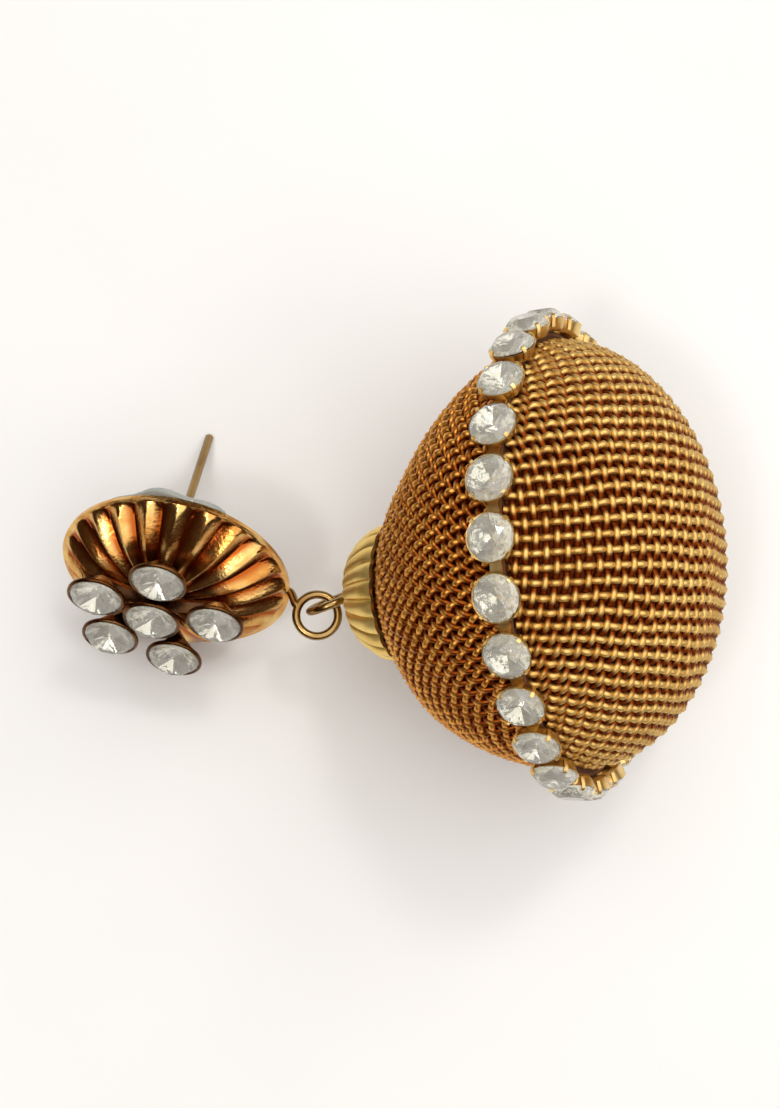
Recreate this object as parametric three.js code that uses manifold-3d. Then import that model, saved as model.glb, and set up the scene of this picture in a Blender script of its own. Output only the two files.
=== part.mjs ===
// Ball drop earring, lying on a flat surface.
//
// A ball covered in gold wire cloth, with a belt of clear stones, hangs by a
// wire eye from the ring of a fluted stud with a raised flower of six stones.
// Millimetres, +Z up, the surface at z = 0 and the origin under the middle of
// the earring's box. Exports one THREE.Group of named meshes.

import * as THREE from 'three';
import { mergeVertices } from 'three/addons/utils/BufferGeometryUtils.js';
import Module from 'manifold-3d';

const wasm = await Module();
wasm.setup();

// ---- Driving dimensions ---------------------------------------------------

const GAP = 0.3; // clearance between neighbouring pieces
const WIRE_RADIUS = 0.31; // the wire of the eye and of the drop ring
const WIRE_SIDES = 8;

const BALL = {
  radius: 15.2, // outside of the cloth at the belt
  domeDepth: 10.75, // belt to the free pole
  domePower: 2.0, // superellipse power of the free half
  bellDepth: 14.15, // belt to where the hanging half would close
  bellPower: 1.73,
  bellCut: 12.75, // belt to the neck, where the cap takes over
  lean: 1.65, // how far the neck has slipped sideways
  leanEnd: 10.0, // belt to where the full lean is reached
  leanPower: 1.5,
  clothWall: 0.9,
  formerWall: 1.5,
  segments: 44,
  steps: 7, // profile steps of each half of the cloth
  formerSegments: 24,
  formerSteps: 5,
  rise: 24.2, // degrees that the free pole points above the surface
  heading: 3.0, // degrees from +X to the free pole, seen from above
};

const BELT = {
  stones: 27,
  stretches: 9,
  cupBase: BALL.radius + 0.35, // ball axis to the underside of the cups, just clear of the cloth
  cupBaseRadius: 1.25,
  cupRadius: 1.65, // at the stone's girdle
  girdle: 0.75, // heights above the cup's underside
  tableRadius: 0.95,
  table: 1.6,
  tabWidth: 1.4,
  tabThickness: 0.3,
  tabOverlap: 0.3, // how far a tab runs in under a cup
  sides: 8,
};

const CAP = {
  wall: 0.35,
  flutes: 22,
  rimPlane: 13.15, // belt to the cap's rim, measured towards the neck
  sections: [ // the inner side: radius, height above the rim, depth of the flutes
    [4.6, 0, 0],
    [4.3, 1.0, 0.14],
    [3.2, 2.4, 0.14],
    [1.7, 3.1, 0],
    [WIRE_RADIUS + GAP, 3.15, 0],
  ],
};

const EYE = {
  centre: 18.66, // belt to the middle of the eye
  radius: 1.57, // to the middle of the wire
  opening: 30, // degrees left open beside the shank
  bend: 14.5, // degrees that the eye is bent aside from the shank
  twist: 15.4, // degrees that the eye is twisted about the shank
  headRadius: 1.1, // the pin's head inside the former
  headThickness: 0.4,
  steps: 26,
};

const DISH = {
  radius: 8.55,
  slip: 0.78, // how far the rim lies off the hole's axis, towards the ball
  wall: 0.3,
  flutes: 22,
  holeRadius: 1.1,
  crownHeight: 2.65, // rim plane to the middle of the underside
  sections: [ // between the rim and the hole: radius, height, depth of the flutes
    [7.75, 0.15, 0],
    [7.3, 0.65, 0.28],
    [5.5, 1.9, 0.34],
    [3.2, 2.55, 0.12],
  ],
};

const POST = {
  radius: 0.325,
  reach: 13.4, // rim plane to the tip
  tipRadius: 0.2,
  tipLength: 0.2,
  padRadius: 1.8,
  padThickness: 0.4,
  bend: 1.5, // degrees that the wire leans towards the ball
  sides: 12,
};

const FLOWER = {
  petals: [ // degrees from the downhill direction, and distance from the middle
    [176, 4.9],
    [249, 4.4],
    [316, 4.35],
    [23, 4.65],
    [105, 4.8],
  ],
  cupBottom: DISH.crownHeight + DISH.wall + 0.35, // clear of the flutes
  cupBottomRadius: 0.6,
  cupHeight: 1.3,
  cupRadius: 2.15,
  cupWall: 0.25,
  cupFloor: 0.2,
  armWidth: 1.5,
  armThickness: 0.3,
  stemRadius: DISH.holeRadius - GAP,
  stemOverlap: 0.05, // how far the stem runs into the middle cup's floor
  sides: 10,
};

const STONE = {
  radius: 1.95,
  tableRadius: 1.15,
  tableHeight: 0.75, // above the girdle
  pavilion: 1.18, // below the girdle
  girdle: 0.16,
  sides: 10,
};

const CLUTCH = {
  face: -2.5, // rim plane to the face of the disc
  holeRadius: POST.radius + GAP,
  scallops: 8,
  scallopDepth: 0.45,
  scallopTurn: 8, // degrees that the valleys are turned from the downhill direction
  scallopStart: 5, // nearer the axis than this, the disc is round
  segments: 32,
  profile: [ // radius and height, from the face round to the sleeve's end
    [3.2, 0.05],
    [5.3, 0.3],
    [6.1, -0.05],
    [5.5, -0.5],
    [3.0, -0.9],
    [1.6, -1.2],
    [1.45, -1.9],
    [1.2, -2.3],
  ],
  length: 2.4,
};

const STUD = {
  offset: [-28.95, -0.22], // ball centre to the dish's hole, along X and Y
  heading: -101.6, // degrees from +X to where the flower faces
};

const RING = {
  radius: 1.54, // to the middle of the wire
  offset: [-0.925, -0.886, 0.0], // eye centre to ring centre
  joint: 155, // degrees from +X to where the tail runs into the ring
  steps: 26,
  tailAngle: 3, // degrees uphill from the dish's side nearest the ball
  tailReach: 0.35, // how far the tail runs straight out of the rim
  tailEase: 0.5, // how far it runs straight into the ring
  tailSteps: 8,
};

// ---- Materials ------------------------------------------------------------

const material = (color, roughness, metalness, options = {}) => (
  new THREE.MeshStandardMaterial({ color, roughness, metalness, ...options })
);
const clothGold = () => material(0xb9852f, 0.35, 1.0);
const formerBrown = () => material(0x3a1408, 0.6, 0.0);
const paleGold = () => material(0xc8a85a, 0.3, 1.0);
const brightGold = () => material(0xb8701f, 0.18, 1.0);
const clearStone = () => material(0xf0f0ee, 0.05, 0.0, { transparent: true, opacity: 0.6 });
const clearPlastic = () => material(0xc4d2c8, 0.3, 0.0, { transparent: true, opacity: 0.5 });

// ---- Helpers --------------------------------------------------------------

const radians = THREE.MathUtils.degToRad;

// Merge shared vertices, and turn the faces outwards if they point in.
function closeUp(geometry) {
  const bare = new THREE.BufferGeometry();
  bare.setAttribute('position', geometry.getAttribute('position').clone());
  if (geometry.index) bare.setIndex(geometry.index.clone());
  const merged = mergeVertices(bare, 1e-5);
  const corners = [...merged.index.array];
  const at = (i) => new THREE.Vector3().fromBufferAttribute(merged.attributes.position, i);
  const kept = [];
  let volume = 0;
  for (let i = 0; i < corners.length; i += 3) {
    const [a, b, c] = corners.slice(i, i + 3);
    if (a === b || b === c || c === a) continue;
    volume += at(a).dot(at(b).cross(at(c)));
    kept.push(a, b, c);
  }
  merged.setIndex(volume < 0 ? kept.reverse() : kept);
  return merged;
}

function toSolid(geometry) {
  const merged = closeUp(geometry);
  return new wasm.Manifold(new wasm.Mesh({
    numProp: 3,
    vertProperties: merged.attributes.position.array,
    triVerts: new Uint32Array(merged.index.array),
  }));
}

function fromSolid(solid) {
  const mesh = solid.getMesh();
  const geometry = new THREE.BufferGeometry();
  geometry.setAttribute('position', new THREE.BufferAttribute(mesh.vertProperties, 3));
  geometry.setIndex(new THREE.BufferAttribute(mesh.triVerts, 1));
  return geometry;
}

const join = (geometries) => (
  fromSolid(geometries.map(toSolid).reduce((whole, piece) => whole.add(piece)))
);

function piece(name, geometry, skin) {
  const shown = closeUp(geometry).toNonIndexed();
  shown.computeVertexNormals();
  const mesh = new THREE.Mesh(shown, skin);
  mesh.name = name;
  return mesh;
}

// A solid of revolution about Z from [radius, height] pairs.
function turned(profile, segments, phase = 0) {
  const points = profile.map(([radius, height]) => new THREE.Vector2(radius, height));
  return new THREE.LatheGeometry(points, segments, phase).rotateX(Math.PI / 2);
}

// A round wire along a curve.
function wire(curve, radius, steps) {
  const corners = Array.from({ length: WIRE_SIDES }, (_, side) => {
    const angle = (2 * Math.PI * side) / WIRE_SIDES;
    return new THREE.Vector2(radius * Math.cos(angle), radius * Math.sin(angle));
  });
  const section = new THREE.Shape(corners);
  return new THREE.ExtrudeGeometry(section, { steps, extrudePath: curve, bevelEnabled: false });
}

// Outward normals of an open profile, one for each point.
function profileNormals(profile) {
  return profile.map((_, i) => {
    const [r0, h0] = profile[Math.max(i - 1, 0)];
    const [r1, h1] = profile[Math.min(i + 1, profile.length - 1)];
    const length = Math.hypot(r1 - r0, h1 - h0);
    return [Math.abs(h1 - h0) / length, Math.abs(r1 - r0) / length];
  });
}

// The same profile, moved inwards by a distance but not below its first point.
function inset(profile, distance) {
  const normals = profileNormals(profile);
  return profile.map(([radius, height], i) => [
    Math.max(radius - distance * normals[i][0], 0),
    Math.max(height - distance * normals[i][1], profile[0][1]),
  ]);
}

const flipped = (profile) => profile.map(([radius, height]) => [radius, -height]);
const backwards = (profile) => [...profile].reverse();

// A thin sheet of revolution whose wall is pressed into V flutes. Each section
// gives the underside's radius and height and how deep the flutes are there.
// The wall is laid on the outer side.
function flutedSheet(sections, flutes, wall) {
  const around = flutes * 2;
  const normals = profileNormals(sections);
  const positions = [];
  for (const lift of [0, wall]) {
    sections.forEach(([radius, height, flute], row) => {
      for (let k = 0; k < around; k += 1) {
        const press = lift + (k % 2 === 0 ? flute : -flute);
        const angle = (2 * Math.PI * k) / around;
        const r = radius + press * normals[row][0];
        positions.push(r * Math.cos(angle), r * Math.sin(angle), height + press * normals[row][1]);
      }
    });
  }
  const rows = sections.length;
  const corner = (layer, row, k) => (layer * rows + row) * around + (k % around);
  const loop = [];
  for (let row = 0; row < rows; row += 1) loop.push([0, row]);
  for (let row = rows - 1; row >= 0; row -= 1) loop.push([1, row]);
  const faces = [];
  loop.forEach(([layer, row], i) => {
    const [nextLayer, nextRow] = loop[(i + 1) % loop.length];
    for (let k = 0; k < around; k += 1) {
      const a = corner(layer, row, k);
      const b = corner(layer, row, k + 1);
      const c = corner(nextLayer, nextRow, k + 1);
      const d = corner(nextLayer, nextRow, k);
      faces.push(a, b, c, a, c, d);
    }
  });
  const geometry = new THREE.BufferGeometry();
  geometry.setAttribute('position', new THREE.Float32BufferAttribute(positions, 3));
  geometry.setIndex(faces);
  return geometry;
}

// ---- The ball -------------------------------------------------------------
// Its own frame: the belt in the XY plane, +Z towards the free pole, -Z
// towards the neck, and +X the side that lies lowest.

// A quarter superellipse from the belt towards a pole, as [radius, height].
function halfProfile(depth, power, start, end, steps) {
  const angleAt = (height) => Math.asin((height / depth) ** (power / 2));
  const first = angleAt(start);
  const last = angleAt(end);
  return Array.from({ length: steps + 1 }, (_, i) => {
    const angle = first + ((last - first) * i) / steps;
    const radius = BALL.radius * Math.max(Math.cos(angle), 0) ** (2 / power);
    return [radius < 1e-6 ? 0 : radius, depth * Math.sin(angle) ** (2 / power)];
  });
}

// The hanging half leans: each of its sections slips a little sideways.
function leaned(geometry) {
  const points = geometry.getAttribute('position');
  for (let i = 0; i < points.count; i += 1) {
    const share = THREE.MathUtils.clamp(-points.getZ(i) / BALL.leanEnd, 0, 1);
    points.setY(i, points.getY(i) - BALL.lean * share ** BALL.leanPower);
  }
  return geometry;
}

function domeCloth() {
  const { domeDepth, domePower, steps } = BALL;
  const outer = halfProfile(domeDepth, domePower, GAP / 2, domeDepth, steps);
  return turned([...backwards(outer), ...inset(outer, BALL.clothWall)], BALL.segments);
}

function bellCloth() {
  const { bellDepth, bellPower, bellCut, steps } = BALL;
  const outer = halfProfile(bellDepth, bellPower, GAP / 2, bellCut, steps);
  const closed = [...outer, ...backwards(inset(outer, BALL.clothWall)), outer[0]];
  return leaned(turned(flipped(closed), BALL.segments));
}

const formerTop = BALL.clothWall + GAP;
const dome = halfProfile(BALL.domeDepth, BALL.domePower, 0, BALL.domeDepth, BALL.formerSteps);
const bell = halfProfile(BALL.bellDepth, BALL.bellPower, 0, BALL.bellCut, BALL.formerSteps);
const neckHeight = inset(bell, formerTop).at(-1)[1];
const neckHole = WIRE_RADIUS + GAP;

function ballFormer() {
  const wallAt = (profile, depth) => inset(profile, formerTop + depth);
  const neck = -neckHeight;
  const profile = [
    ...backwards(wallAt(dome, 0)),
    ...flipped(wallAt(bell, 0)).slice(1),
    [neckHole, neck],
    [neckHole, neck + BALL.formerWall],
    ...backwards(flipped(wallAt(bell, BALL.formerWall))).slice(1, -1),
    ...wallAt(dome, BALL.formerWall),
  ];
  return leaned(turned(profile, BALL.formerSegments));
}

// One cup with its stone, its axis along +X and its underside at the belt.
function beltCup() {
  const cup = turned([
    [0, 0],
    [BELT.cupBaseRadius, 0],
    [BELT.cupRadius, BELT.girdle],
    [BELT.tableRadius, BELT.table],
    [0, BELT.table],
  ], BELT.sides, Math.PI / BELT.sides);
  return cup.rotateY(Math.PI / 2).translate(BELT.cupBase, 0, 0);
}

// Cups joined by flat tabs. The tab at each end stops half a gap short of the
// next stretch.
function beltStretch(first, count) {
  const step = (2 * Math.PI) / BELT.stones;
  const reach = (BELT.cupBase * step) / 2 - BELT.cupBaseRadius + BELT.tabOverlap;
  const shapes = [];
  for (let i = 0; i < count; i += 1) shapes.push(beltCup().rotateZ((first + i + 0.5) * step));
  for (let i = 0; i <= count; i += 1) {
    const from = i === 0 ? GAP / 2 : -reach;
    const to = i === count ? -GAP / 2 : reach;
    const tab = new THREE.BoxGeometry(BELT.tabThickness, to - from, BELT.tabWidth);
    tab.translate(BELT.cupBase + BELT.tabThickness / 2, (from + to) / 2, 0);
    shapes.push(tab.rotateZ((first + i) * step));
  }
  return join(shapes);
}

function beadCap() {
  const cap = flutedSheet(CAP.sections, CAP.flutes, CAP.wall);
  return cap.rotateX(Math.PI).translate(0, 0, -CAP.rimPlane);
}

// The eye is drawn in the XZ plane, then twisted about the shank and bent
// aside where it meets it. Its wire starts beside the shank and runs round to
// the shank's other side.
const eyeRoot = new THREE.Vector3(0, 0, EYE.radius - EYE.centre);
const eyeBend = new THREE.Matrix4().makeTranslation(eyeRoot)
  .multiply(new THREE.Matrix4().makeRotationX(-radians(EYE.bend)))
  .multiply(new THREE.Matrix4().makeRotationZ(radians(EYE.twist)))
  .multiply(new THREE.Matrix4().makeTranslation(eyeRoot.clone().negate()));

function eyePin() {
  class Eye extends THREE.Curve {
    getPoint(t, target = new THREE.Vector3()) {
      const angle = radians(90 + t * (360 - EYE.opening));
      const across = EYE.radius * Math.cos(angle);
      return target.set(across, 0, EYE.radius * Math.sin(angle) - EYE.centre);
    }
  }
  const inside = -(neckHeight - BALL.formerWall - GAP);
  const shank = new THREE.LineCurve3(new THREE.Vector3(0, 0, inside), eyeRoot);
  const head = turned([
    [0, inside],
    [EYE.headRadius, inside],
    [EYE.headRadius, inside + EYE.headThickness],
    [0, inside + EYE.headThickness],
  ], POST.sides);
  const eye = wire(new Eye(), WIRE_RADIUS, EYE.steps).applyMatrix4(eyeBend);
  return join([eye, wire(shank, WIRE_RADIUS, 1), head]);
}

const ball = new THREE.Group();
ball.rotation.set(0, radians(90 - BALL.rise), radians(BALL.heading), 'ZYX');
ball.add(piece('ball_former', ballFormer(), formerBrown()));
ball.add(piece('dome_cloth', domeCloth(), clothGold()));
ball.add(piece('bell_cloth', bellCloth(), clothGold()));
const perStretch = BELT.stones / BELT.stretches;
for (let i = 0; i < BELT.stretches; i += 1) {
  const stretch = beltStretch(i * perStretch, perStretch);
  ball.add(piece(`belt_${i + 1}`, stretch, clearStone()));
}
const neck = new THREE.Group();
neck.position.y = -BALL.lean;
neck.add(piece('bead_cap', beadCap(), paleGold()));
neck.add(piece('eye_pin', eyePin(), paleGold()));
ball.add(neck);
ball.updateMatrixWorld(true);
ball.position.z -= new THREE.Box3().setFromObject(ball, true).min.z;
ball.updateMatrixWorld(true);

// ---- The stud -------------------------------------------------------------
// Its own frame: the dish's rim in the XY plane, +Z out of the flower, +X
// straight downhill and +Y sideways, towards the ball. It rests on the rim
// and on the tip of the post, which sets how steeply the flower looks up.

const bentReach = (POST.reach - POST.tipLength) * Math.cos(radians(POST.bend));
const restRise = Math.atan((DISH.radius - POST.radius) / bentReach);
const stud = new THREE.Group();
stud.rotation.set(0, Math.PI / 2 - restRise, radians(STUD.heading), 'ZYX');
stud.position.set(...STUD.offset, DISH.radius * Math.cos(restRise));
stud.updateMatrixWorld(true);

function dish() {
  const rim = [DISH.radius, 0, 0];
  const hole = [DISH.holeRadius, DISH.crownHeight, 0];
  const sheet = flutedSheet([rim, ...DISH.sections, hole], DISH.flutes, DISH.wall);
  const points = sheet.getAttribute('position');
  for (let i = 0; i < points.count; i += 1) {
    const reach = Math.hypot(points.getX(i), points.getY(i));
    const share = (reach - DISH.holeRadius) / (DISH.radius - DISH.holeRadius);
    points.setY(i, points.getY(i) + DISH.slip * THREE.MathUtils.clamp(share, 0, 1));
  }
  return sheet;
}

// The drop ring lies level through the eye, and its short tail runs to the rim.
function dropRing() {
  const eyeCentre = new THREE.Vector3(0, 0, -EYE.centre).applyMatrix4(eyeBend);
  const centre = neck.localToWorld(eyeCentre).add(new THREE.Vector3(...RING.offset));
  const toStud = stud.matrixWorld.clone().invert();
  const ring = new THREE.TorusGeometry(RING.radius, WIRE_RADIUS, WIRE_SIDES, RING.steps);
  ring.translate(centre.x, centre.y, centre.z).applyMatrix4(toStud);
  const turn = radians(RING.joint);
  const spoke = new THREE.Vector3(Math.cos(turn), Math.sin(turn), 0);
  const joint = centre.clone().addScaledVector(spoke, RING.radius).applyMatrix4(toStud);
  spoke.transformDirection(toStud);
  const side = radians(RING.tailAngle);
  const outwards = new THREE.Vector3(-Math.sin(side), Math.cos(side), 0);
  const rimMiddle = new THREE.Vector3(0, DISH.slip, 0);
  const rootLift = new THREE.Vector3(0, 0, WIRE_RADIUS / 2);
  const tail = new THREE.CubicBezierCurve3(
    rimMiddle.clone().addScaledVector(outwards, DISH.radius - WIRE_RADIUS).add(rootLift),
    rimMiddle.clone().addScaledVector(outwards, DISH.radius + RING.tailReach),
    joint.clone().addScaledVector(spoke, RING.tailEase),
    joint,
  );
  return [ring, wire(tail, WIRE_RADIUS, RING.tailSteps)];
}

function flowerSetting() {
  const bottom = FLOWER.cupBottom;
  const top = bottom + FLOWER.cupHeight;
  const cup = () => turned([
    [0, bottom],
    [FLOWER.cupBottomRadius, bottom],
    [FLOWER.cupRadius, top],
    [FLOWER.cupRadius - FLOWER.cupWall, top],
    [FLOWER.cupBottomRadius - FLOWER.cupWall, bottom + FLOWER.cupFloor],
    [0, bottom + FLOWER.cupFloor],
  ], FLOWER.sides);
  const stem = turned([
    [0, DISH.crownHeight],
    [FLOWER.stemRadius, DISH.crownHeight],
    [FLOWER.stemRadius, bottom + FLOWER.stemOverlap],
    [0, bottom + FLOWER.stemOverlap],
  ], FLOWER.sides);
  const shapes = [cup(), stem];
  for (const [degrees, distance] of FLOWER.petals) {
    const arm = new THREE.BoxGeometry(distance, FLOWER.armWidth, FLOWER.armThickness);
    arm.translate(distance / 2, 0, bottom + FLOWER.armThickness / 2);
    shapes.push(arm.rotateZ(radians(degrees)));
    shapes.push(cup().translate(distance, 0, 0).rotateZ(radians(degrees)));
  }
  return join(shapes);
}

function flowerStone() {
  return turned([
    [0, -STONE.pavilion],
    [STONE.radius, 0],
    [STONE.radius, STONE.girdle],
    [STONE.tableRadius, STONE.girdle + STONE.tableHeight],
    [0, STONE.girdle + STONE.tableHeight],
  ], STONE.sides);
}

// The wire leans a little from its flat pad, towards the ball.
const bent = (geometry) => geometry.rotateX(radians(POST.bend));

function earPost() {
  const padTop = DISH.crownHeight - GAP;
  const padBottom = padTop - POST.padThickness;
  const pad = turned([
    [0, padTop],
    [POST.padRadius, padTop],
    [POST.padRadius, padBottom],
    [0, padBottom],
  ], POST.sides);
  const pin = turned([
    [0, padBottom + POST.padThickness / 2],
    [POST.radius, padBottom + POST.padThickness / 2],
    [POST.radius, POST.tipLength - POST.reach],
    [POST.tipRadius, -POST.reach],
    [0, -POST.reach],
  ], POST.sides);
  return join([pad, bent(pin)]);
}

// A soft disc with a scalloped edge, running into a tapered sleeve.
function earClutch() {
  const clutch = turned([
    [CLUTCH.holeRadius, 0],
    ...CLUTCH.profile,
    [CLUTCH.holeRadius, -CLUTCH.length],
    [CLUTCH.holeRadius, 0],
  ], CLUTCH.segments);
  const points = clutch.getAttribute('position');
  for (let i = 0; i < points.count; i += 1) {
    const reach = Math.hypot(points.getX(i), points.getY(i));
    if (reach < CLUTCH.scallopStart) continue;
    const angle = Math.atan2(points.getY(i), points.getX(i)) + radians(CLUTCH.scallopTurn);
    const press = CLUTCH.scallopDepth * (1 + Math.cos(angle * CLUTCH.scallops));
    const scale = 1 - press / (2 * reach);
    points.setXY(i, points.getX(i) * scale, points.getY(i) * scale);
  }
  return bent(clutch.translate(0, 0, CLUTCH.face));
}

stud.add(piece('stud_dish', join([dish(), ...dropRing()]), brightGold()));
stud.add(piece('flower_setting', flowerSetting(), brightGold()));
const girdlePlane = FLOWER.cupBottom + FLOWER.cupHeight + GAP;
const stonePlaces = [
  new THREE.Vector3(0, 0, girdlePlane),
  ...FLOWER.petals.map(([degrees, distance]) => new THREE.Vector3(
    distance * Math.cos(radians(degrees)),
    distance * Math.sin(radians(degrees)),
    girdlePlane,
  )),
];
stonePlaces.forEach((place, i) => {
  const stone = piece(`flower_stone_${i + 1}`, flowerStone(), clearStone());
  stone.position.copy(place);
  stud.add(stone);
});
stud.add(piece('ear_post', earPost(), paleGold()));
stud.add(piece('ear_clutch', earClutch(), clearPlastic()));

// ---- The whole earring ----------------------------------------------------

const earring = new THREE.Group();
earring.add(ball, stud);
earring.updateMatrixWorld(true);
const middle = new THREE.Box3().setFromObject(earring, true).getCenter(new THREE.Vector3());
earring.position.set(-middle.x, -middle.y, 0);
earring.updateMatrixWorld(true);

export default earring;
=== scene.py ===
# %% [markdown]
# # A ball drop earring, lying on a table
#
# The earring is a ball in gold wire cloth with a belt of clear stones. It
# hangs from a small stud: a fluted dish, a raised flower of six stones and a
# post with a soft clutch. Each step below is one piece or one finish. Sizes
# are in millimetres and are turned into metres when a mesh is placed.
#
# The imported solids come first. They are the fixed frame: every new piece is
# laid exactly where the solid that it stands for lies.

# %% Load the frame
import math

import bmesh
import bpy
from mathutils import Matrix, Vector


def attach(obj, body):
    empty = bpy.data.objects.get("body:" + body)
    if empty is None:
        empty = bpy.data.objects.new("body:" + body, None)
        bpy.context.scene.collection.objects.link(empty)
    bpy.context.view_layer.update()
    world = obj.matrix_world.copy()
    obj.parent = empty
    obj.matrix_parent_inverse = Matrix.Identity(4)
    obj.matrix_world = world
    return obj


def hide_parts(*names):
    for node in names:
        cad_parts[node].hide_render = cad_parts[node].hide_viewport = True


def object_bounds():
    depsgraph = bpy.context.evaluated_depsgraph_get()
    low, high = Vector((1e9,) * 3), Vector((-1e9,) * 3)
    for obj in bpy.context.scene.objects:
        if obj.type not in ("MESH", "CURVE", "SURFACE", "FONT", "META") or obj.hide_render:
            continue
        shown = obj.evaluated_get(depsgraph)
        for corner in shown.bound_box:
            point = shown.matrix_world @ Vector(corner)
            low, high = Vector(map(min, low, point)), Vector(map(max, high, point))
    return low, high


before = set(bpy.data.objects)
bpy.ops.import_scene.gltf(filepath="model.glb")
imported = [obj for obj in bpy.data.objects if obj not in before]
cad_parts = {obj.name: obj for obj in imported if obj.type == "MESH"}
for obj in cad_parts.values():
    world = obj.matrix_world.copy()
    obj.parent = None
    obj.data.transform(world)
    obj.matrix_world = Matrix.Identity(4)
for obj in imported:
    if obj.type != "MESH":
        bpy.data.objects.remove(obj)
cad_low, cad_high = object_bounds()
box = [round(1000 * v, 1) for v in cad_high - cad_low]
print("solids:", len(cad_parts), "box (mm):", box)

# %% [markdown]
# ## Where the two halves of the earring lie
#
# The ball lies on its belt with its free pole a little off the table, and the
# stud leans on its rim and on the tip of its post. Each has a frame of its
# own, in which it is as simple as a turned part. The poles are read from the
# solids, so nothing is fitted by eye.

# %% The ball's frame and the stud's frame
MM = 0.001

BALL_RISE = 24.2  # degrees from the table to the free pole
BALL_HEADING = 3.0  # degrees from +X, seen from above
DOME_DEPTH = 10.75  # from the belt's plane to the free pole
STUD_HEADING = -101.6
DISH_RADIUS = 8.55
DISH_SLIP = 0.78  # how far the rim lies off the post's axis, towards the ball
POST_RADIUS = 0.325
POST_REACH = 13.4  # from the dish's rim to the tip
POST_TIP = 0.2  # length of the rounding there
POST_BEND = 1.5  # degrees
GIRDLE_PLANE = 4.9  # dish rim to the girdles of the flower's stones
PAVILION = 1.18


def far_point(node, direction):
    """The vertex of a solid that lies furthest along a direction."""
    return max((v.co.copy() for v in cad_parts[node].data.vertices), key=direction.dot)


def turned_frame(rise, heading):
    """+Z looks up by rise and along heading, +X points down the slope."""
    across = Matrix.Rotation(math.radians(90 - rise), 4, "Y")
    return Matrix.Rotation(math.radians(heading), 4, "Z") @ across


ball_turn = turned_frame(BALL_RISE, BALL_HEADING)
ball_pole = ball_turn.to_3x3() @ Vector((0, 0, 1))
ball_centre = far_point("dome_cloth", ball_pole) - ball_pole * DOME_DEPTH * MM
BALL = Matrix.Translation(ball_centre) @ ball_turn @ Matrix.Scale(MM, 4)

bent_reach = (POST_REACH - POST_TIP) * math.cos(math.radians(POST_BEND))
stud_rise = math.degrees(math.atan((DISH_RADIUS - POST_RADIUS) / bent_reach))
stud_turn = turned_frame(stud_rise, STUD_HEADING)
stud_axis = stud_turn.to_3x3() @ Vector((0, 0, 1))
stud_foot = far_point("flower_stone_1", -stud_axis)
stud_centre = stud_foot - stud_axis * (GIRDLE_PLANE - PAVILION) * MM
STUD = Matrix.Translation(stud_centre) @ stud_turn @ Matrix.Scale(MM, 4)
print("ball centre (mm):", [round(v / MM, 2) for v in ball_centre])
print("stud centre (mm):", [round(v / MM, 2) for v in stud_centre], "rise:", round(stud_rise, 1))

# %% [markdown]
# ## The camera
#
# The earring is seen from almost straight above. A camera some 13 cm away
# gives the strong perspective of a close view, in which the top of the ball
# looks larger than its foot.

# %% Camera
CAMERA_FROM_BALL = Vector((-15.65, -12.19, 130.54)) * MM
LENS = 61.0  # millimetres of focal length


def linked(name, data):
    """A new object in the scene, round a mesh, a lamp or a camera."""
    thing = bpy.data.objects.new(name, data)
    bpy.context.collection.objects.link(thing)
    return thing


camera_place = ball_centre + CAMERA_FROM_BALL
view_target = (cad_low + cad_high) / 2
forward = (view_target - camera_place).normalized()
view_right = (Vector((1, 0, 0)) - forward * forward.x).normalized()
view_up = view_right.cross(forward)
camera_data = bpy.data.cameras.new("camera")
camera_data.lens = LENS
camera = linked("camera", camera_data)
camera_turn = Matrix((view_right, view_up, -forward)).transposed().to_4x4()
camera.matrix_world = Matrix.Translation(camera_place) @ camera_turn
bpy.context.scene.camera = camera
print("camera elevation:", round(math.degrees(math.asin(-forward.z)), 1))

# %% [markdown]
# ## Node graphs as expressions
#
# Shader and geometry trees soon grow long. Two small classes keep them
# readable: a Graph adds a node from its type, its settings and its inputs,
# and a Signal wraps an output so that maths reads as maths. The nodes that
# every tree here needs, such as a noise or a named attribute, are its methods.


# %% Signals
class Signal:
    """A node's output. Arithmetic on it adds Math nodes."""

    def __init__(self, graph, socket):
        self.graph = graph
        self.socket = socket

    def __add__(self, other):
        return self.graph.math("ADD", self, other)

    def __sub__(self, other):
        return self.graph.math("SUBTRACT", self, other)

    def __rsub__(self, other):
        return self.graph.math("SUBTRACT", other, self)

    def __mul__(self, other):
        return self.graph.math("MULTIPLY", self, other)

    def __truediv__(self, other):
        return self.graph.math("DIVIDE", self, other)

    def __rtruediv__(self, other):
        return self.graph.math("DIVIDE", other, self)

    def __neg__(self):
        return self * -1.0

    __radd__ = __add__
    __rmul__ = __mul__


print("operators of a signal: + - * /")


# %% Graphs
def rgba(color):
    """A colour with the fourth number that sockets and ramps ask for."""
    return (*color, 1.0)


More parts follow.
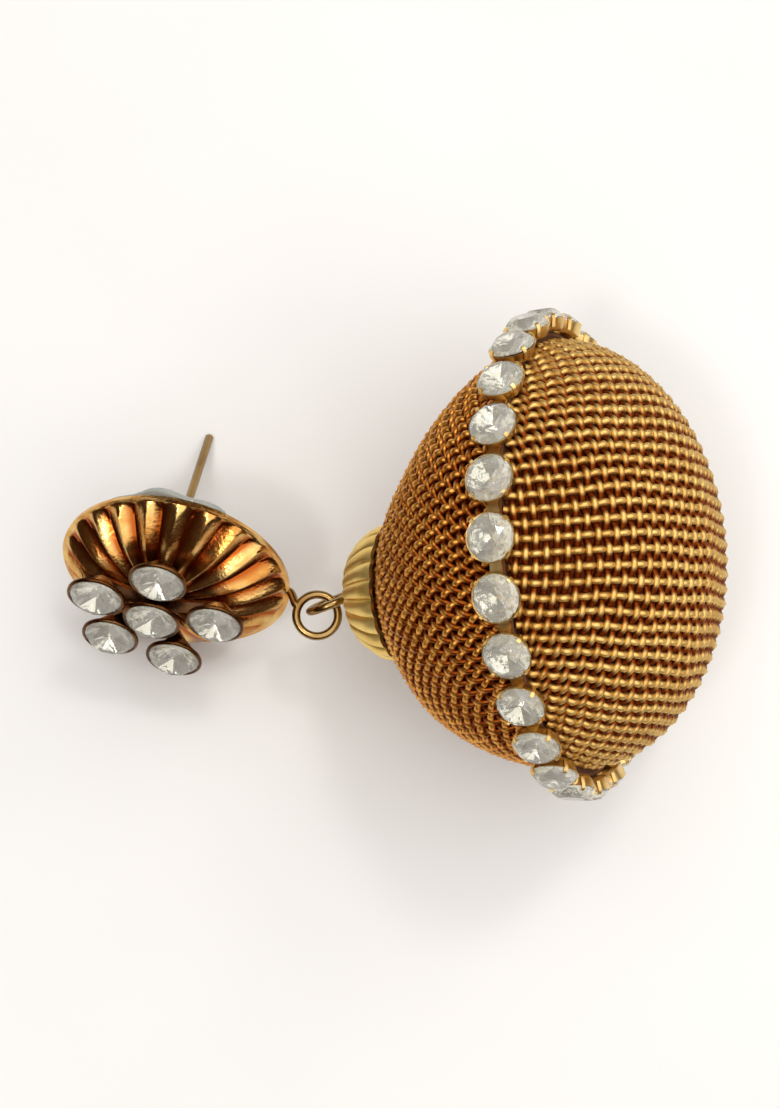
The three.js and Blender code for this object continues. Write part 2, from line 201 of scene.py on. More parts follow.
class Graph:
    """A node tree to which nodes are added one call at a time."""

    def __init__(self, tree):
        self.tree = tree

    def put(self, socket, value):
        if isinstance(value, Signal):
            self.tree.links.new(value.socket, socket)
        else:
            socket.default_value = value

    def add(self, kind, settings=None, inputs=None, output=0):
        node = self.tree.nodes.new(kind)
        for name, value in (settings or {}).items():
            setattr(node, name, value)
        for key, value in (inputs or {}).items():
            self.put(self.find(node.inputs, key), value)
        return Signal(self, self.find(node.outputs, output)) if len(node.outputs) else node

    def find(self, sockets, key):
        """A socket by number or name, or by identifier where names repeat."""
        for socket in sockets:
            if socket.identifier == key and "_" in str(key):
                return socket
        return sockets[key]

    def math(self, operation, first, second=0.0):
        return self.add("ShaderNodeMath", {"operation": operation}, {0: first, 1: second})

    def blend(self, share, low, high):
        return self.add("ShaderNodeMix", {"data_type": "RGBA"}, {
            "Factor": share, "A_Color": low, "B_Color": high,
        }, "Result_Color")

    def two_tone(self, share, light, deep, start=0.3, end=0.7):
        """The deep tone below start, the light one above end, and a drift between."""
        tone = self.add("ShaderNodeValToRGB", None, {0: share})
        stops = zip(tone.socket.node.color_ramp.elements, (start, end), (deep, light))
        for element, place, color in stops:
            element.position = place
            element.color = rgba(color)
        return tone

    def noise(self, place, scale, detail):
        return self.add("ShaderNodeTexNoise", None, {
            "Vector": place, "Scale": scale, "Detail": detail,
        })

    def bump(self, strength, depth, height):
        return self.add("ShaderNodeBump", None, {
            "Strength": strength, "Distance": depth, "Height": height,
        })

    def surface(self, inputs):
        shader = self.add("ShaderNodeBsdfPrincipled", None, inputs)
        self.add("ShaderNodeOutputMaterial", None, {"Surface": shader})

    def parts(self, vector):
        x = self.add("ShaderNodeSeparateXYZ", None, {0: vector})
        return [Signal(self, output) for output in x.socket.node.outputs]

    def vector(self, x, y, z):
        return self.add("ShaderNodeCombineXYZ", None, {0: x, 1: y, 2: z})

    def named(self, name, kind):
        """What a mesh has stored under a name."""
        return self.add("GeometryNodeInputNamedAttribute", {"data_type": kind}, {"Name": name})

    def store(self, geometry, name, kind, value):
        return self.add("GeometryNodeStoreNamedAttribute", {
            "data_type": kind, "domain": "POINT",
        }, {"Geometry": geometry, "Name": name, "Value": value})


print("graph helpers ready")

# %% [markdown]
# ## Gold
#
# Plated wire and pressed sheet share one metal. Its colour drifts a little,
# its gloss is uneven where it has been handled, and a fine bump breaks up the
# reflections. Each piece asks for its own tone and polish.
#
# Noise on Object coordinates is enough for that. It needs no unwrapping, and
# its grain has the same size on every piece. Where a piece has hollows that
# light hardly reaches, shade is painted in: an attribute named crest
# blends the metal towards a dark painted shade colour.

# %% Metal material
FULL_PAINTED_LIGHT = 1.7  # over 1, so that the upper part of a crown keeps its full tone, with no painted shade
FINE_GRAIN = 9  # the bump's grain beside the drift's
BUMP_DEPTH = 0.0001


def start_material(name):
    """An empty material, its graph and the place on the object."""
    material = bpy.data.materials.new(name)
    material.use_nodes = True
    material.node_tree.nodes.clear()
    graph = Graph(material.node_tree)
    return material, graph, graph.add("ShaderNodeTexCoord", None, None, "Object")


def metal(name, light, deep, roughness, spread, grain, bump, metallic=1.0, painted_shade_color=None, rise=2.2):
    """Polished plate that drifts between two tones, grain per metre.

    With a painted shade colour, it is painted darker towards it as the attribute crest falls from
    1 to 0."""
    material, graph, place = start_material(name)
    tone = graph.two_tone(graph.noise(place, grain, 3.0), light, deep, 0.35, 0.65)
    # Painted shade: where crest is low, the tone is blended towards the dark painted shade colour.
    if painted_shade_color:
        crest = graph.add("ShaderNodeAttribute", {"attribute_name": "crest"}, None, "Fac")
        share = graph.add("ShaderNodeClamp", None, {"Value": (crest - 1.0) * rise + FULL_PAINTED_LIGHT})
        tone = graph.blend(share, rgba(painted_shade_color), tone)
    fine = graph.noise(place, grain * FINE_GRAIN, 2.0)
    graph.surface({
        "Base Color": tone,
        "Metallic": metallic,
        "Roughness": fine * spread + (roughness - spread / 2),
        "Normal": graph.bump(bump, BUMP_DEPTH, fine),
    })
    return material


# Light tone, deep tone, roughness, its spread, grain and bump, then the painted shade colour of
# the hollows
wire_gold = metal(
    "wire gold", (0.80, 0.54, 0.18), (0.70, 0.42, 0.12), 0.48, 0.16, 500, 0.05,
    painted_shade_color=(0.22, 0.045, 0.005),
)
bell_gold = metal(
    "bell wire gold", (0.92, 0.45, 0.085), (0.70, 0.28, 0.045), 0.40, 0.16, 500, 0.05,
    painted_shade_color=(0.26, 0.065, 0.008), rise=3.0,
)
cap_gold = metal("cap gold", (1.0, 0.76, 0.27), (0.90, 0.62, 0.17), 0.46, 0.12, 400, 0.04)
dish_gold = metal(
    "dish gold", (0.84, 0.56, 0.20), (0.58, 0.25, 0.055), 0.20, 0.10, 500, 0.2,
    painted_shade_color=(0.40, 0.090, 0.014), rise=2.0,
)
# Painted shade: a darker copy of the pale cap gold, for the eye, ring and post, which lie in
# shade.
shaded_link_gold = metal("link gold with painted shade", (0.40, 0.26, 0.10), (0.26, 0.14, 0.04), 0.24, 0.12, 400, 0.04)
# Painted shade: the flower's cups are a dark brown gold, for the shade round and under their
# stones.
shaded_rim_gold = metal("rim gold with painted shade", (0.20, 0.09, 0.03), (0.10, 0.035, 0.01), 0.28, 0.12, 400, 0.04)
cup_gold = metal("cup gold", (0.86, 0.62, 0.25), (0.64, 0.40, 0.13), 0.32, 0.14, 600, 0.05)
golds = (wire_gold, bell_gold, cap_gold, dish_gold, shaded_link_gold, shaded_rim_gold, cup_gold)
print("metals:", [gold.name for gold in golds])

# %% [markdown]
# ## The dark former under the cloth
#
# The wire cloth is stretched over a hollow former. Only its colour shows,
# through the openings of the weave, so the imported solid stays and gets a
# satin red-brown. Its strong red is partly the former's own brown and partly
# painted bounce light, standing in for warm light thrown between the gold wires.


# %% Former material
def clouded(name, light, deep, grain, detail, roughness, spread=0.0, relief=0.0, clear=None):
    """A finish that clouds between two tones. Clear is (refraction, how much light it lets in)."""
    material, graph, place = start_material(name)
    cloud = graph.noise(place, grain, detail)
    inputs = {
        "Base Color": graph.two_tone(cloud, light, deep),
        "Roughness": cloud * spread + roughness if spread else roughness,
    }
    if relief:
        inputs["Normal"] = graph.bump(relief, 2 * BUMP_DEPTH, cloud)
    if clear:
        inputs["IOR"], inputs["Transmission Weight"] = clear
    graph.surface(inputs)
    return material


# Partly painted bounce light: the bright red stands in for warm light between the wires, over the
# former's own brown.
former_brown_and_bounce = clouded(
    "former brown with painted bounce", (0.78, 0.150, 0.020), (0.54, 0.085, 0.012), 300.0, 3.0, 0.7, 0.2,
)
# Painted shade: the band under the chain is dark brown for the shade there.
shaded_band_brown = clouded(
    "band brown with painted shade", (0.20, 0.075, 0.020), (0.12, 0.040, 0.010), 300.0, 3.0, 0.75, 0.2,
)
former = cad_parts["ball_former"]
former.data.materials.clear()
former.data.materials.append(former_brown_and_bounce)
print("former faces:", len(former.data.polygons))

# %% [markdown]
# ## Helpers for meshes
#
# A turned profile, a mesh from points and faces, and a wire that follows a
# path are all that the small pieces need. Modifiers could make them as well,
# but a list of rings keeps every radius in sight and leaves nothing live. Each
# mesh is made in its part's own frame and is then placed once, so its object
# stays at the origin.

# %% Mesh helpers
CREASE = math.radians(76)
WELD = 0.00001


def shade(mesh, smooth):
    """Flat facets, or smooth faces with sharp edges where they meet at an angle."""
    mesh.polygons.foreach_set("use_smooth", [smooth] * len(mesh.polygons))
    if smooth:
        mesh.set_sharp_from_angle(angle=CREASE)


def share_of(value, start, span):
    """How far a value has come from a start, from 0 to 1."""
    return min(max((value - start) / span, 0), 1)


def spoke(degrees):
    """A level arrow of length 1."""
    angle = math.radians(degrees)
    return Vector((math.cos(angle), math.sin(angle), 0))


def mesh_of(name, part):
    """A mesh from a part, which is a pair of points and faces."""
    points, faces = part
    mesh = bpy.data.meshes.new(name)
    mesh.from_pydata([tuple(p) for p in points], [], faces)
    return mesh


def turn_outwards(mesh, weld=0.0):
    """Joins points closer than weld and turns the faces outwards."""
    shape = bmesh.new()
    shape.from_mesh(mesh)
    if weld:
        bmesh.ops.remove_doubles(shape, verts=shape.verts, dist=weld)
    bmesh.ops.recalc_face_normals(shape, faces=shape.faces)
    shape.to_mesh(mesh)
    shape.free()


def mesh_object(name, part, place, materials, smooth=True, face_materials=None):
    """An object from a closed part in millimetres, placed in the world."""
    mesh = mesh_of(name, part)
    for material in materials:
        mesh.materials.append(material)
    if face_materials:
        mesh.polygons.foreach_set("material_index", face_materials)
    turn_outwards(mesh, WELD)
    mesh.transform(place)
    mesh.update()
    shade(mesh, smooth)
    return linked(name, mesh)


def finish_piece(piece, slot, *nodes):
    """Rides on the earring and stands for its solids."""
    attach(piece, "root")
    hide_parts(*nodes)
    triangles = sum(len(f.vertices) - 2 for f in piece.data.polygons)
    print(f"{piece.name}: {triangles} triangles for {len(nodes)} solids")


print("mesh helpers: crease at", round(math.degrees(CREASE)), "degrees")


# %% Rings and turned parts
def ring_mesh(rings, closed_loop=False):
    """Points and faces of a skin through rings of equal length. A one-point ring is a pole."""
    points = []
    starts = []
    for ring in rings:
        starts.append(len(points))
        points.extend(ring)
    faces = []
    pairs = list(zip(range(len(rings)), range(1, len(rings))))
    if closed_loop:
        pairs.append((len(rings) - 1, 0))
    for a, b in pairs:
        count = max(len(rings[a]), len(rings[b]))
        for k in range(count):
            after = (k + 1) % count
            low = [starts[a]] if len(rings[a]) == 1 else [starts[a] + k, starts[a] + after]
            high = [starts[b]] if len(rings[b]) == 1 else [starts[b] + after, starts[b] + k]
            faces.append(low + high)
    return points, faces


def ring_points(radius, height, count, phase=0.0):
    """Points on a level circle, with the phase in parts of a step."""
    step = 2 * math.pi / count
    return [
        (radius * math.cos((k + phase) * step), radius * math.sin((k + phase) * step), height)
        for k in range(count)
    ]


def turned_part(profile, sides, closed_loop=False):
    """The skin of a turned profile of (radius, height) pairs. Radius 0 gives a pole."""
    rings = [ring_points(radius, height, sides if radius else 1) for radius, height in profile]
    return ring_mesh(rings, closed_loop)


cylinder = turned_part([(0, 0), (1, 0), (1, 1), (0, 1)], sides=24)
print("faces of a turned cylinder:", len(cylinder[1]))

# %% Round wire
WIRE_CROWN = 0.35  # how far a wire's end bulges, in radii


def neighbours(line):
    """The points before and after each point of a line, whose ends stand for themselves."""
    return zip([line[0], *line[:-1]], [*line[1:], line[-1]])


def round_wire(path, radius, sides):
    """A round wire along a list of points, closed at both ends."""
    path = [Vector(p) for p in path]
    tangents = [(after - before).normalized() for before, after in neighbours(path)]
    side = tangents[0].orthogonal().normalized()
    rings = [[path[0] - tangents[0] * radius * WIRE_CROWN]]
    for point, tangent in zip(path, tangents):
        side = (side - tangent * side.dot(tangent)).normalized()
        other = tangent.cross(side)
        circle = ring_points(radius, 0.0, sides)
        rings.append([point + side * x + other * y for x, y, _ in circle])
    rings.append([path[-1] + tangents[-1] * radius * WIRE_CROWN])
    return ring_mesh(rings)


print("ends of a wire bulge by", WIRE_CROWN, "of its radius")


# %% Gather and move parts
def gathered(*parts):
    """Several parts as one."""
    points = []
    faces = []
    for some_points, some_faces in parts:
        start = len(points)
        points.extend(some_points)
        faces.extend([tuple(i + start for i in face) for face in some_faces])
    return points, faces


def moved(part, matrix):
    """A part turned or shifted as a whole, which must not mirror it."""
    points, faces = part
    return [matrix @ Vector(p) for p in points], faces


print("helpers for parts ready")

# %% [markdown]
# ## Wire cloth, as Geometry Nodes
#
# The ball wears a plain weave of round wire, drawn down from each pole. A woven
# cloth cannot stretch along its wires, it can only shear: it lies on the ball
# as a net of equal threads. The net starts as two threads that cross at the
# pole and follow meridians. Every further knot keeps one thread length from
# its two neighbours, so the net closes up like scissors between them. The cloth
# is drawn out a little there, so its wires never jam.
#
# The net is a mesh whose UV is the place in the flat cloth. The tree lays
# straight wires in that flat cloth, looks up where each point has gone, and
# makes the over and under of the weave as one product of two cosines. A bumped
# shell would be quicker, but only real wires show round crowns, cast shadows
# on each other and leave open gaps to the former.

# %% Cloth sizes
BALL_RADIUS = 15.2
BELL_DEPTH = 14.15  # from the belt's plane to the pole under the cap
BELL_POWER = 1.73  # of the superellipse that is turned about the pole
DOME_POWER = 2.0
LEAN = 1.65  # how far the neck has slipped sideways
LEAN_END = 10.0  # from the belt to where the full lean is reached
LEAN_POWER = 1.5  # over 1, so that the lean sets in softly
WEAVE_WIRE = 0.49  # diameter
WEAVE_ACROSS = 0.69  # between the wires that run up and down
WEAVE_ALONG = 1.02  # between the wires that run along the ball's axis
SHEET_REACH = 27.0  # half of the flat cloth
EDGE_HEIGHT = 0.34  # where the wires end beside the belt
openings = [round(gap - WEAVE_WIRE, 2) for gap in (WEAVE_ACROSS, WEAVE_ALONG)]
print("openings of the cloth (mm):", openings)

# %% Half of the ball as a shell
PROFILE_STEPS = 400


class Shell:
    """Half of the ball, a quarter superellipse turned about the pole."""

    def __init__(self, depth, power):
        self.depth = depth
        self.power = power
        self.line = [(0.0, depth, 0.0)]
        for i in range(1, PROFILE_STEPS + 1):
            angle = math.pi / 2 * (1 - i / PROFILE_STEPS)
            radius = BALL_RADIUS * math.cos(angle) ** (2 / power)
            height = depth * math.sin(angle) ** (2 / power)
            last = self.line[-1]
            way = last[2] + math.hypot(radius - last[0], height - last[1])
            self.line.append((radius, height, way))

    def level(self, point):
        """0 on the shell, less inside and more outside."""
        return (
            (math.hypot(point.x, point.y) / BALL_RADIUS) ** self.power
            + (abs(point.z) / self.depth) ** self.power - 1
        )

    def outwards(self, point):
        """How the level grows from a point, which is the way out of the ball."""
        radius = max(math.hypot(point.x, point.y), 0.0001)  # the pole has no direction
        flat = (radius / BALL_RADIUS) ** (self.power - 1) / BALL_RADIUS
        rise = (abs(point.z) / self.depth) ** (self.power - 1) / self.depth
        rise = math.copysign(rise, point.z)
        return Vector((point.x / radius * flat, point.y / radius * flat, rise)) * self.power

    def at(self, way, column):
        """The point of the profile where one of its three columns has a given value."""
        low, high = 0, len(self.line) - 1
        falling = column == 1
        past = -way if falling else way - self.line[-1][column]
        if past > 0:
            return BALL_RADIUS, -past, self.line[-1][2] + past
        while high - low > 1:
            middle = (low + high) // 2
            before = self.line[middle][column] < way
            if before != falling:
                low = middle
            else:
                high = middle
        first, second = self.line[low], self.line[high]
        share = (way - first[column]) / (second[column] - first[column])
        return tuple(a + (b - a) * share for a, b in zip(first, second))


dome_shell = Shell(DOME_DEPTH, DOME_POWER)
bell_shell = Shell(BELL_DEPTH, BELL_POWER)
print("pole to belt (mm):", [round(shell.line[-1][2], 1) for shell in (dome_shell, bell_shell)])

# %% The net of equal threads
THREAD = 0.75  # one side of the net's mesh
NEWTON_STEPS = 8  # each brings the knot closer to its true place
SINGULAR = 1e-6  # under this, the two threads and the shell no longer fix a knot


def next_knot(shell, behind, left, right):
    """The point on the shell one thread from two knots, opposite a third."""
    guess = left + right - behind
    for _ in range(NEWTON_STEPS):
        rows = Matrix((shell.outwards(guess), (guess - left) * 2, (guess - right) * 2))
        misses = Vector((
            shell.level(guess),
            (guess - left).length_squared - THREAD ** 2,
            (guess - right).length_squared - THREAD ** 2,
        ))
        if abs(rows.determinant()) < SINGULAR:
            break
        guess = guess - rows.inverted() @ misses
    return guess


def quarter_net(shell):
    """The knots (i, j) of one quarter of the cloth, down to just below the belt."""
    spare = 12  # knots beyond those of a meridian; none further out lies above the belt
    count = int(shell.line[-1][2] / THREAD) + 2
    knots = {}
    for i in range(count + 1):
        radius, height, _ = shell.at(THREAD * i, 2)
        knots[(i, 0)] = Vector((radius, 0, height))
        knots[(0, i)] = Vector((0, radius, height))
    for i in range(1, count + spare):
        for j in range(1, count + spare):
            around = [knots.get(key) for key in ((i - 1, j - 1), (i, j - 1), (i - 1, j))]
            if None in around:
                continue
            knot = next_knot(shell, *around)
            if knot.z > -THREAD:
                knots[(i, j)] = knot
    return knots


dome_net = quarter_net(dome_shell)
bell_net = quarter_net(bell_shell)
print("knots in a quarter of each half:", len(dome_net), len(bell_net))

# %% The net as a mesh
NET_SHARE = 0.75  # 1 is a pure net, 0 keeps every knot's distance and direction
BELL_TURN = math.radians(-28)  # of the bell's wires beside the dome's


def draped_sheet(name, shell, net, turn=0.0, side=1.0, lean=0.0):
    """All four quarters of a net as one mesh, its UV the place in the flat cloth."""
    turned = Matrix.Rotation(turn, 3, "Z")
    knots = {}  # the place of each knot, and the way out of the ball there
    for (i, j), knot in net.items():
        way = NET_SHARE * shell.at(knot.z, 1)[2] + (1 - NET_SHARE) * math.hypot(i, j) * THREAD
        radius, height, _ = shell.at(way, 2)
        direction = NET_SHARE * math.atan2(knot.y, knot.x) + (1 - NET_SHARE) * math.atan2(j, i)
        flat = Vector((radius * math.cos(direction), radius * math.sin(direction), height))
        up = shell.outwards(flat).normalized()
        for sx, sy in ((1, 1), (1, -1), (-1, 1), (-1, -1)):
            if (sx * i, sy * j) in knots:
                continue
            x, y, z = turned @ Vector((sx * flat.x, sy * flat.y, flat.z))
            slip = lean * share_of(z, 0, LEAN_END) ** LEAN_POWER
            out = turned @ Vector((sx * up.x, sy * up.y, up.z))
            knots[(sx * i, sy * j)] = (x, y - slip, z * side), (out.x, out.y, out.z * side)
    numbers = {key: number for number, key in enumerate(knots)}
    faces = []
    for i, j in knots:
        corners = [numbers.get(key) for key in ((i, j), (i + 1, j), (i + 1, j + 1), (i, j + 1))]
        if None not in corners:
            faces.append(corners)
    mesh = mesh_of(name, ([place for place, _ in knots.values()], faces))
    chart = mesh.uv_layers.new(name="flat")
    keys = list(knots)
    for loop in mesh.loops:
        place = Vector(keys[loop.vertex_index]) * THREAD / (2 * SHEET_REACH)
        chart.data[loop.index].uv = place + Vector((0.5, 0.5))
    up_layer = mesh.attributes.new("up", "FLOAT_VECTOR", "POINT")
    up_layer.data.foreach_set("vector", [value for _, out in knots.values() for value in out])
    print(f"{name}: {len(knots)} knots")
    return mesh


dome_sheet = draped_sheet("dome sheet", dome_shell, dome_net)
bell_sheet = draped_sheet("bell sheet", bell_shell, bell_net, BELL_TURN, side=-1.0, lean=LEAN)

# %% [markdown]
# A geometry tree is a small program with inputs of its own. Two helpers open
# one from names, types and defaults, and close it on the geometry that it hands
# out. The tree that weaves is then written in three parts: straight wires in
# the flat cloth, those wires laid on the ball, and the whole.


# %% A tree with named inputs
def start_tree(name, inputs):
    """An empty geometry tree and what it is given. Inputs hold a socket type and a default."""
    tree = bpy.data.node_groups.new(name, "GeometryNodeTree")
    tree.interface.new_socket(name="Geometry", in_out="OUTPUT", socket_type="NodeSocketGeometry")
    for key, (kind, value) in inputs.items():
        kind = "NodeSocket" + kind
        socket = tree.interface.new_socket(name=key, in_out="INPUT", socket_type=kind)
        if value is not None:
            socket.default_value = value
    graph = Graph(tree)
    group = tree.nodes.new("NodeGroupInput")
    return graph, {output.name: Signal(graph, output) for output in group.outputs if output.name}


def end_tree(graph, geometry):
    """Links the geometry that the tree hands out."""
    output = graph.tree.nodes.new("NodeGroupOutput")
    graph.tree.links.new(geometry.socket, output.inputs[0])
    print(f"{graph.tree.name} tree: {len(graph.tree.nodes)} nodes")
    return graph.tree


print("tree helpers ready")


# %% Straight wires in the flat cloth
def wire_family(graph, given, gap, run, along_x):
    """Straight parallel wires in the flat sheet, with a weave sign of +1 or -1."""
    def in_line(value):
        return graph.vector(value, 0.0, 0.0) if along_x else graph.vector(0.0, value, 0.0)

    def sideways(value):
        return graph.vector(0.0, value, 0.0) if along_x else graph.vector(value, 0.0, 0.0)

    half_count = graph.math("FLOOR", given["Reach"] / gap)
    half_steps = graph.math("FLOOR", given["Reach"] / run) * given["Steps"]
    step = run / given["Steps"]
    row = graph.add("GeometryNodeMeshLine", {"mode": "OFFSET"}, {
        "Count": half_count * 2.0 + 1.0,
        "Start Location": sideways(-(half_count * gap)),
        "Offset": sideways(gap),
    })
    strand = graph.add("GeometryNodeMeshLine", {"mode": "OFFSET"}, {
        "Count": half_steps * 2.0 + 1.0,
        "Start Location": in_line(-(half_steps * step)),
        "Offset": in_line(step),
    })
    placed = graph.add("GeometryNodeInstanceOnPoints", None, {"Points": row, "Instance": strand})
    plain = graph.add("GeometryNodeRealizeInstances", None, {"Geometry": placed})
    return graph.store(plain, "weave_sign", "FLOAT", -1.0 if along_x else 1.0)


wire_counts = [2 * int(SHEET_REACH / gap) + 1 for gap in (WEAVE_ACROSS, WEAVE_ALONG)]
print("wires of the flat cloth, each way:", wire_counts)

# %% Wires laid on the ball
WAVES_PER_MM = 0.16  # of the unevenness of the weave
WAVE_REACH = 8.0  # from end to end, at a waviness of 1
PAINTED_LIGHT_POWER = 3.5  # how narrow the painted light on the crowns of the wires is
PAINTED_LIGHT_UNLIKE = 2.5  # and how much the painted light differs between the two directions


def shape_wires(graph, given, flat):
    """Lays the flat wires over the draped sheet and trims them at its edge and hole."""
    # Where each point of the flat cloth has gone on the ball
    place = graph.add("GeometryNodeInputPosition")
    u, v, _ = graph.parts(place)
    shift = graph.add("ShaderNodeTexNoise", {"noise_dimensions": "4D"}, {
        "Vector": place, "W": given["Seed"], "Scale": WAVES_PER_MM, "Detail": 1.0,
    }, "Color")
    shift_x, shift_y, _ = graph.parts(shift)
    x = u + (shift_x - 0.5) * given["Waviness"] * WAVE_REACH
    y = v + (shift_y - 0.5) * given["Waviness"] * WAVE_REACH
    span = given["Reach"] * 2.0
    wanted = graph.vector(x / span + 0.5, y / span + 0.5, 0.0)
    chart = graph.named("flat", "FLOAT_VECTOR")
    spot, up = [
        graph.add("GeometryNodeSampleUVSurface", {"data_type": "FLOAT_VECTOR"}, {
            "Mesh": given["Sheet"], "Value": value, "UV Map": chart, "Sample UV": wanted,
        })
        for value in (place, graph.named("up", "FLOAT_VECTOR"))
    ]
    on_sheet = Signal(graph, spot.socket.node.outputs["Is Valid"])

    # Over and under, as a lift along the way out of the ball
    sign = graph.named("weave_sign", "FLOAT")
    crossing = graph.math("COSINE", u / given["Across"] * math.pi)
    crossing = crossing * graph.math("COSINE", v / given["Along"] * math.pi)
    bend = 1.0 - sign * given["Tension"]
    lift = sign * crossing * given["Wire Radius"] * bend - given["Sink"]
    raised = graph.add("ShaderNodeVectorMath", {"operation": "MULTIPLY_ADD"}, {
        0: up, 1: graph.vector(lift, lift, lift), 2: spot,
    })
    laid = graph.add("GeometryNodeSetPosition", None, {"Position": raised})

    # Painted light on the crowns with painted shade in the dips, and what lies in the hole, past
    # the belt or off the sheet
    spot_x, spot_y, spot_z = graph.parts(spot)
    reach = graph.math("SQRT", spot_x * spot_x + spot_y * spot_y)
    in_hole = graph.math("LESS_THAN", reach, given["Hole"])
    past_belt = graph.math("LESS_THAN", spot_z * given["Side"], given["Edge"])
    off_sheet = graph.math("MAXIMUM", 1.0 - on_sheet, past_belt)
    # Painted light and shade: 1 on top of a crown, falling to 0 where the wire dips under its
    # neighbour; the wires that run up and down get narrower painted light, so they read darker.
    narrow = sign * PAINTED_LIGHT_UNLIKE + PAINTED_LIGHT_POWER
    crown = graph.math("POWER", sign * crossing * 0.5 + 0.5, narrow)
    crested = graph.store(flat, "crest", "FLOAT", crown)
    trimmed = graph.store(crested, "trim", "BOOLEAN", graph.math("MAXIMUM", off_sheet, in_hole))
    graph.tree.links.new(trimmed.socket, laid.socket.node.inputs["Geometry"])
    return graph.add("GeometryNodeDeleteGeometry", {"domain": "POINT"}, {
        "Geometry": laid, "Selection": graph.named("trim", "BOOLEAN"),
    })


print("waves of the cloth (mm):", round(1 / WAVES_PER_MM, 1))

# %% The tree that weaves
TENSION = 0.1  # how much straighter the wires along the axis lie
SINK = WEAVE_WIRE + 0.07  # from the draped sheet down to the middle of the cloth


def weaving_tree():
    """Wire cloth on a draped sheet, both families of wires as round tubes."""
    sizes = {
        "Across": WEAVE_ACROSS, "Along": WEAVE_ALONG, "Reach": SHEET_REACH,
        "Wire Radius": WEAVE_WIRE / 2, "Tension": TENSION, "Sink": SINK,
        "Side": 1.0, "Edge": EDGE_HEIGHT, "Hole": 0.0, "Waviness": 0.12, "Seed": 0.0,
    }
    graph, given = start_tree("wire cloth", {
        "Sheet": ("Geometry", None),
        **{name: ("Float", value) for name, value in sizes.items()},
        "Steps": ("Int", 4), "Sides": ("Int", 6), "Metal": ("Material", None),
    })
    families = []
    for along_x in (False, True):
        gap, run = ("Along", "Across") if along_x else ("Across", "Along")
        families.append(wire_family(graph, given, given[gap], given[run], along_x))
    flat = graph.add("GeometryNodeJoinGeometry")
    for family in families:
        graph.tree.links.new(family.socket, flat.socket.node.inputs[0])
    shaped = shape_wires(graph, given, flat)
    ring = graph.add("GeometryNodeCurvePrimitiveCircle", None, {
        "Resolution": given["Sides"], "Radius": given["Wire Radius"],
    })
    curves = graph.add("GeometryNodeMeshToCurve", None, {"Mesh": shaped})
    tubes = graph.add("GeometryNodeCurveToMesh", None, {
        "Curve": curves, "Profile Curve": ring, "Fill Caps": True,
    })
    smooth = graph.add("GeometryNodeSetShadeSmooth", None, {"Geometry": tubes})
    plain = graph.add("GeometryNodeRealizeInstances", None, {"Geometry": smooth})
    return end_tree(graph, graph.add("GeometryNodeSetMaterial", None, {
        "Geometry": plain, "Material": given["Metal"],
    }))


weave = weaving_tree()

# %% [markdown]
# A finished tree is evaluated once and kept as a plain mesh. The modifier is
# then gone, so nothing has to be worked out again when the earring is used.


# %% Evaluate a tree into a plain mesh
def grown(name, source_mesh, tree, values, place, smooth=True):
    """The mesh that a tree makes from a source mesh, placed in the world."""
    holder = linked(name, source_mesh)
    modifier = holder.modifiers.new("grow", "NODES")
    modifier.node_group = tree
    identifiers = {
        item.name: item.identifier
        for item in tree.interface.items_tree
        if item.item_type == "SOCKET" and item.in_out == "INPUT"
    }
    for key, value in values.items():
        modifier[identifiers[key]] = value
    graph = bpy.context.evaluated_depsgraph_get()
    mesh = bpy.data.meshes.new_from_object(holder.evaluated_get(graph), depsgraph=graph)
    holder.modifiers.remove(modifier)
    holder.data = mesh
    mesh.name = name
    mesh.transform(place)
    mesh.update()
    shade(mesh, smooth)
    return holder


BELL_HOLE = 2.2  # round the eye's pin, under the cap

dome_weave = grown("dome_weave", dome_sheet, weave, {"Metal": wire_gold, "Seed": 3.0}, BALL)
finish_piece(dome_weave, "wire_cloth", "dome_cloth")
bell_weave = grown(
    "bell_weave", bell_sheet, weave,
    {"Metal": bell_gold, "Side": -1.0, "Hole": BELL_HOLE, "Seed": 7.0, "Sides": 5}, BALL,
)
finish_piece(bell_weave, "wire_cloth", "bell_cloth")

# %% [markdown]
# ## Cut stones
#
# Each stone is a foiled chaton: a cut crown over a silvered point. Light goes
# in through the crown, is thrown back by the foil and comes out through
# another facet. A smooth glass dome would look like a bead: the sparkle comes
# from flat facets that each show another part of the room. One mesh holds both
# finishes, glass for the crown and a mirror for the faces below the girdle, so
# a ray meets glass and foil in the right order.

# %% Glass and foil
stone_glass = clouded(
    "cut glass", (1.0, 1.0, 0.96), (0.96, 0.96, 0.90), 700.0, 2.0, 0.0, 0.03, clear=(1.54, 0.76),
)
stone_foil = metal(
    "stone foil", (0.99, 0.98, 0.89), (0.88, 0.86, 0.74), 0.09, 0.06, 220, 0.5, metallic=0.8,
)
print("stone finishes:", stone_glass.name, "and", stone_foil.name)

# %% A cut stone
STONE_MAINS = 8  # main facets of the crown
STAR_SPREAD = 0.5  # from the table to the girdle
STAR_HEIGHT = 0.62  # from the girdle to the table
LOWER_RADIUS = 0.38  # of the ring where the lower facets start, beside the girdle
LOWER_DEPTH = 0.6  # from the girdle to the point


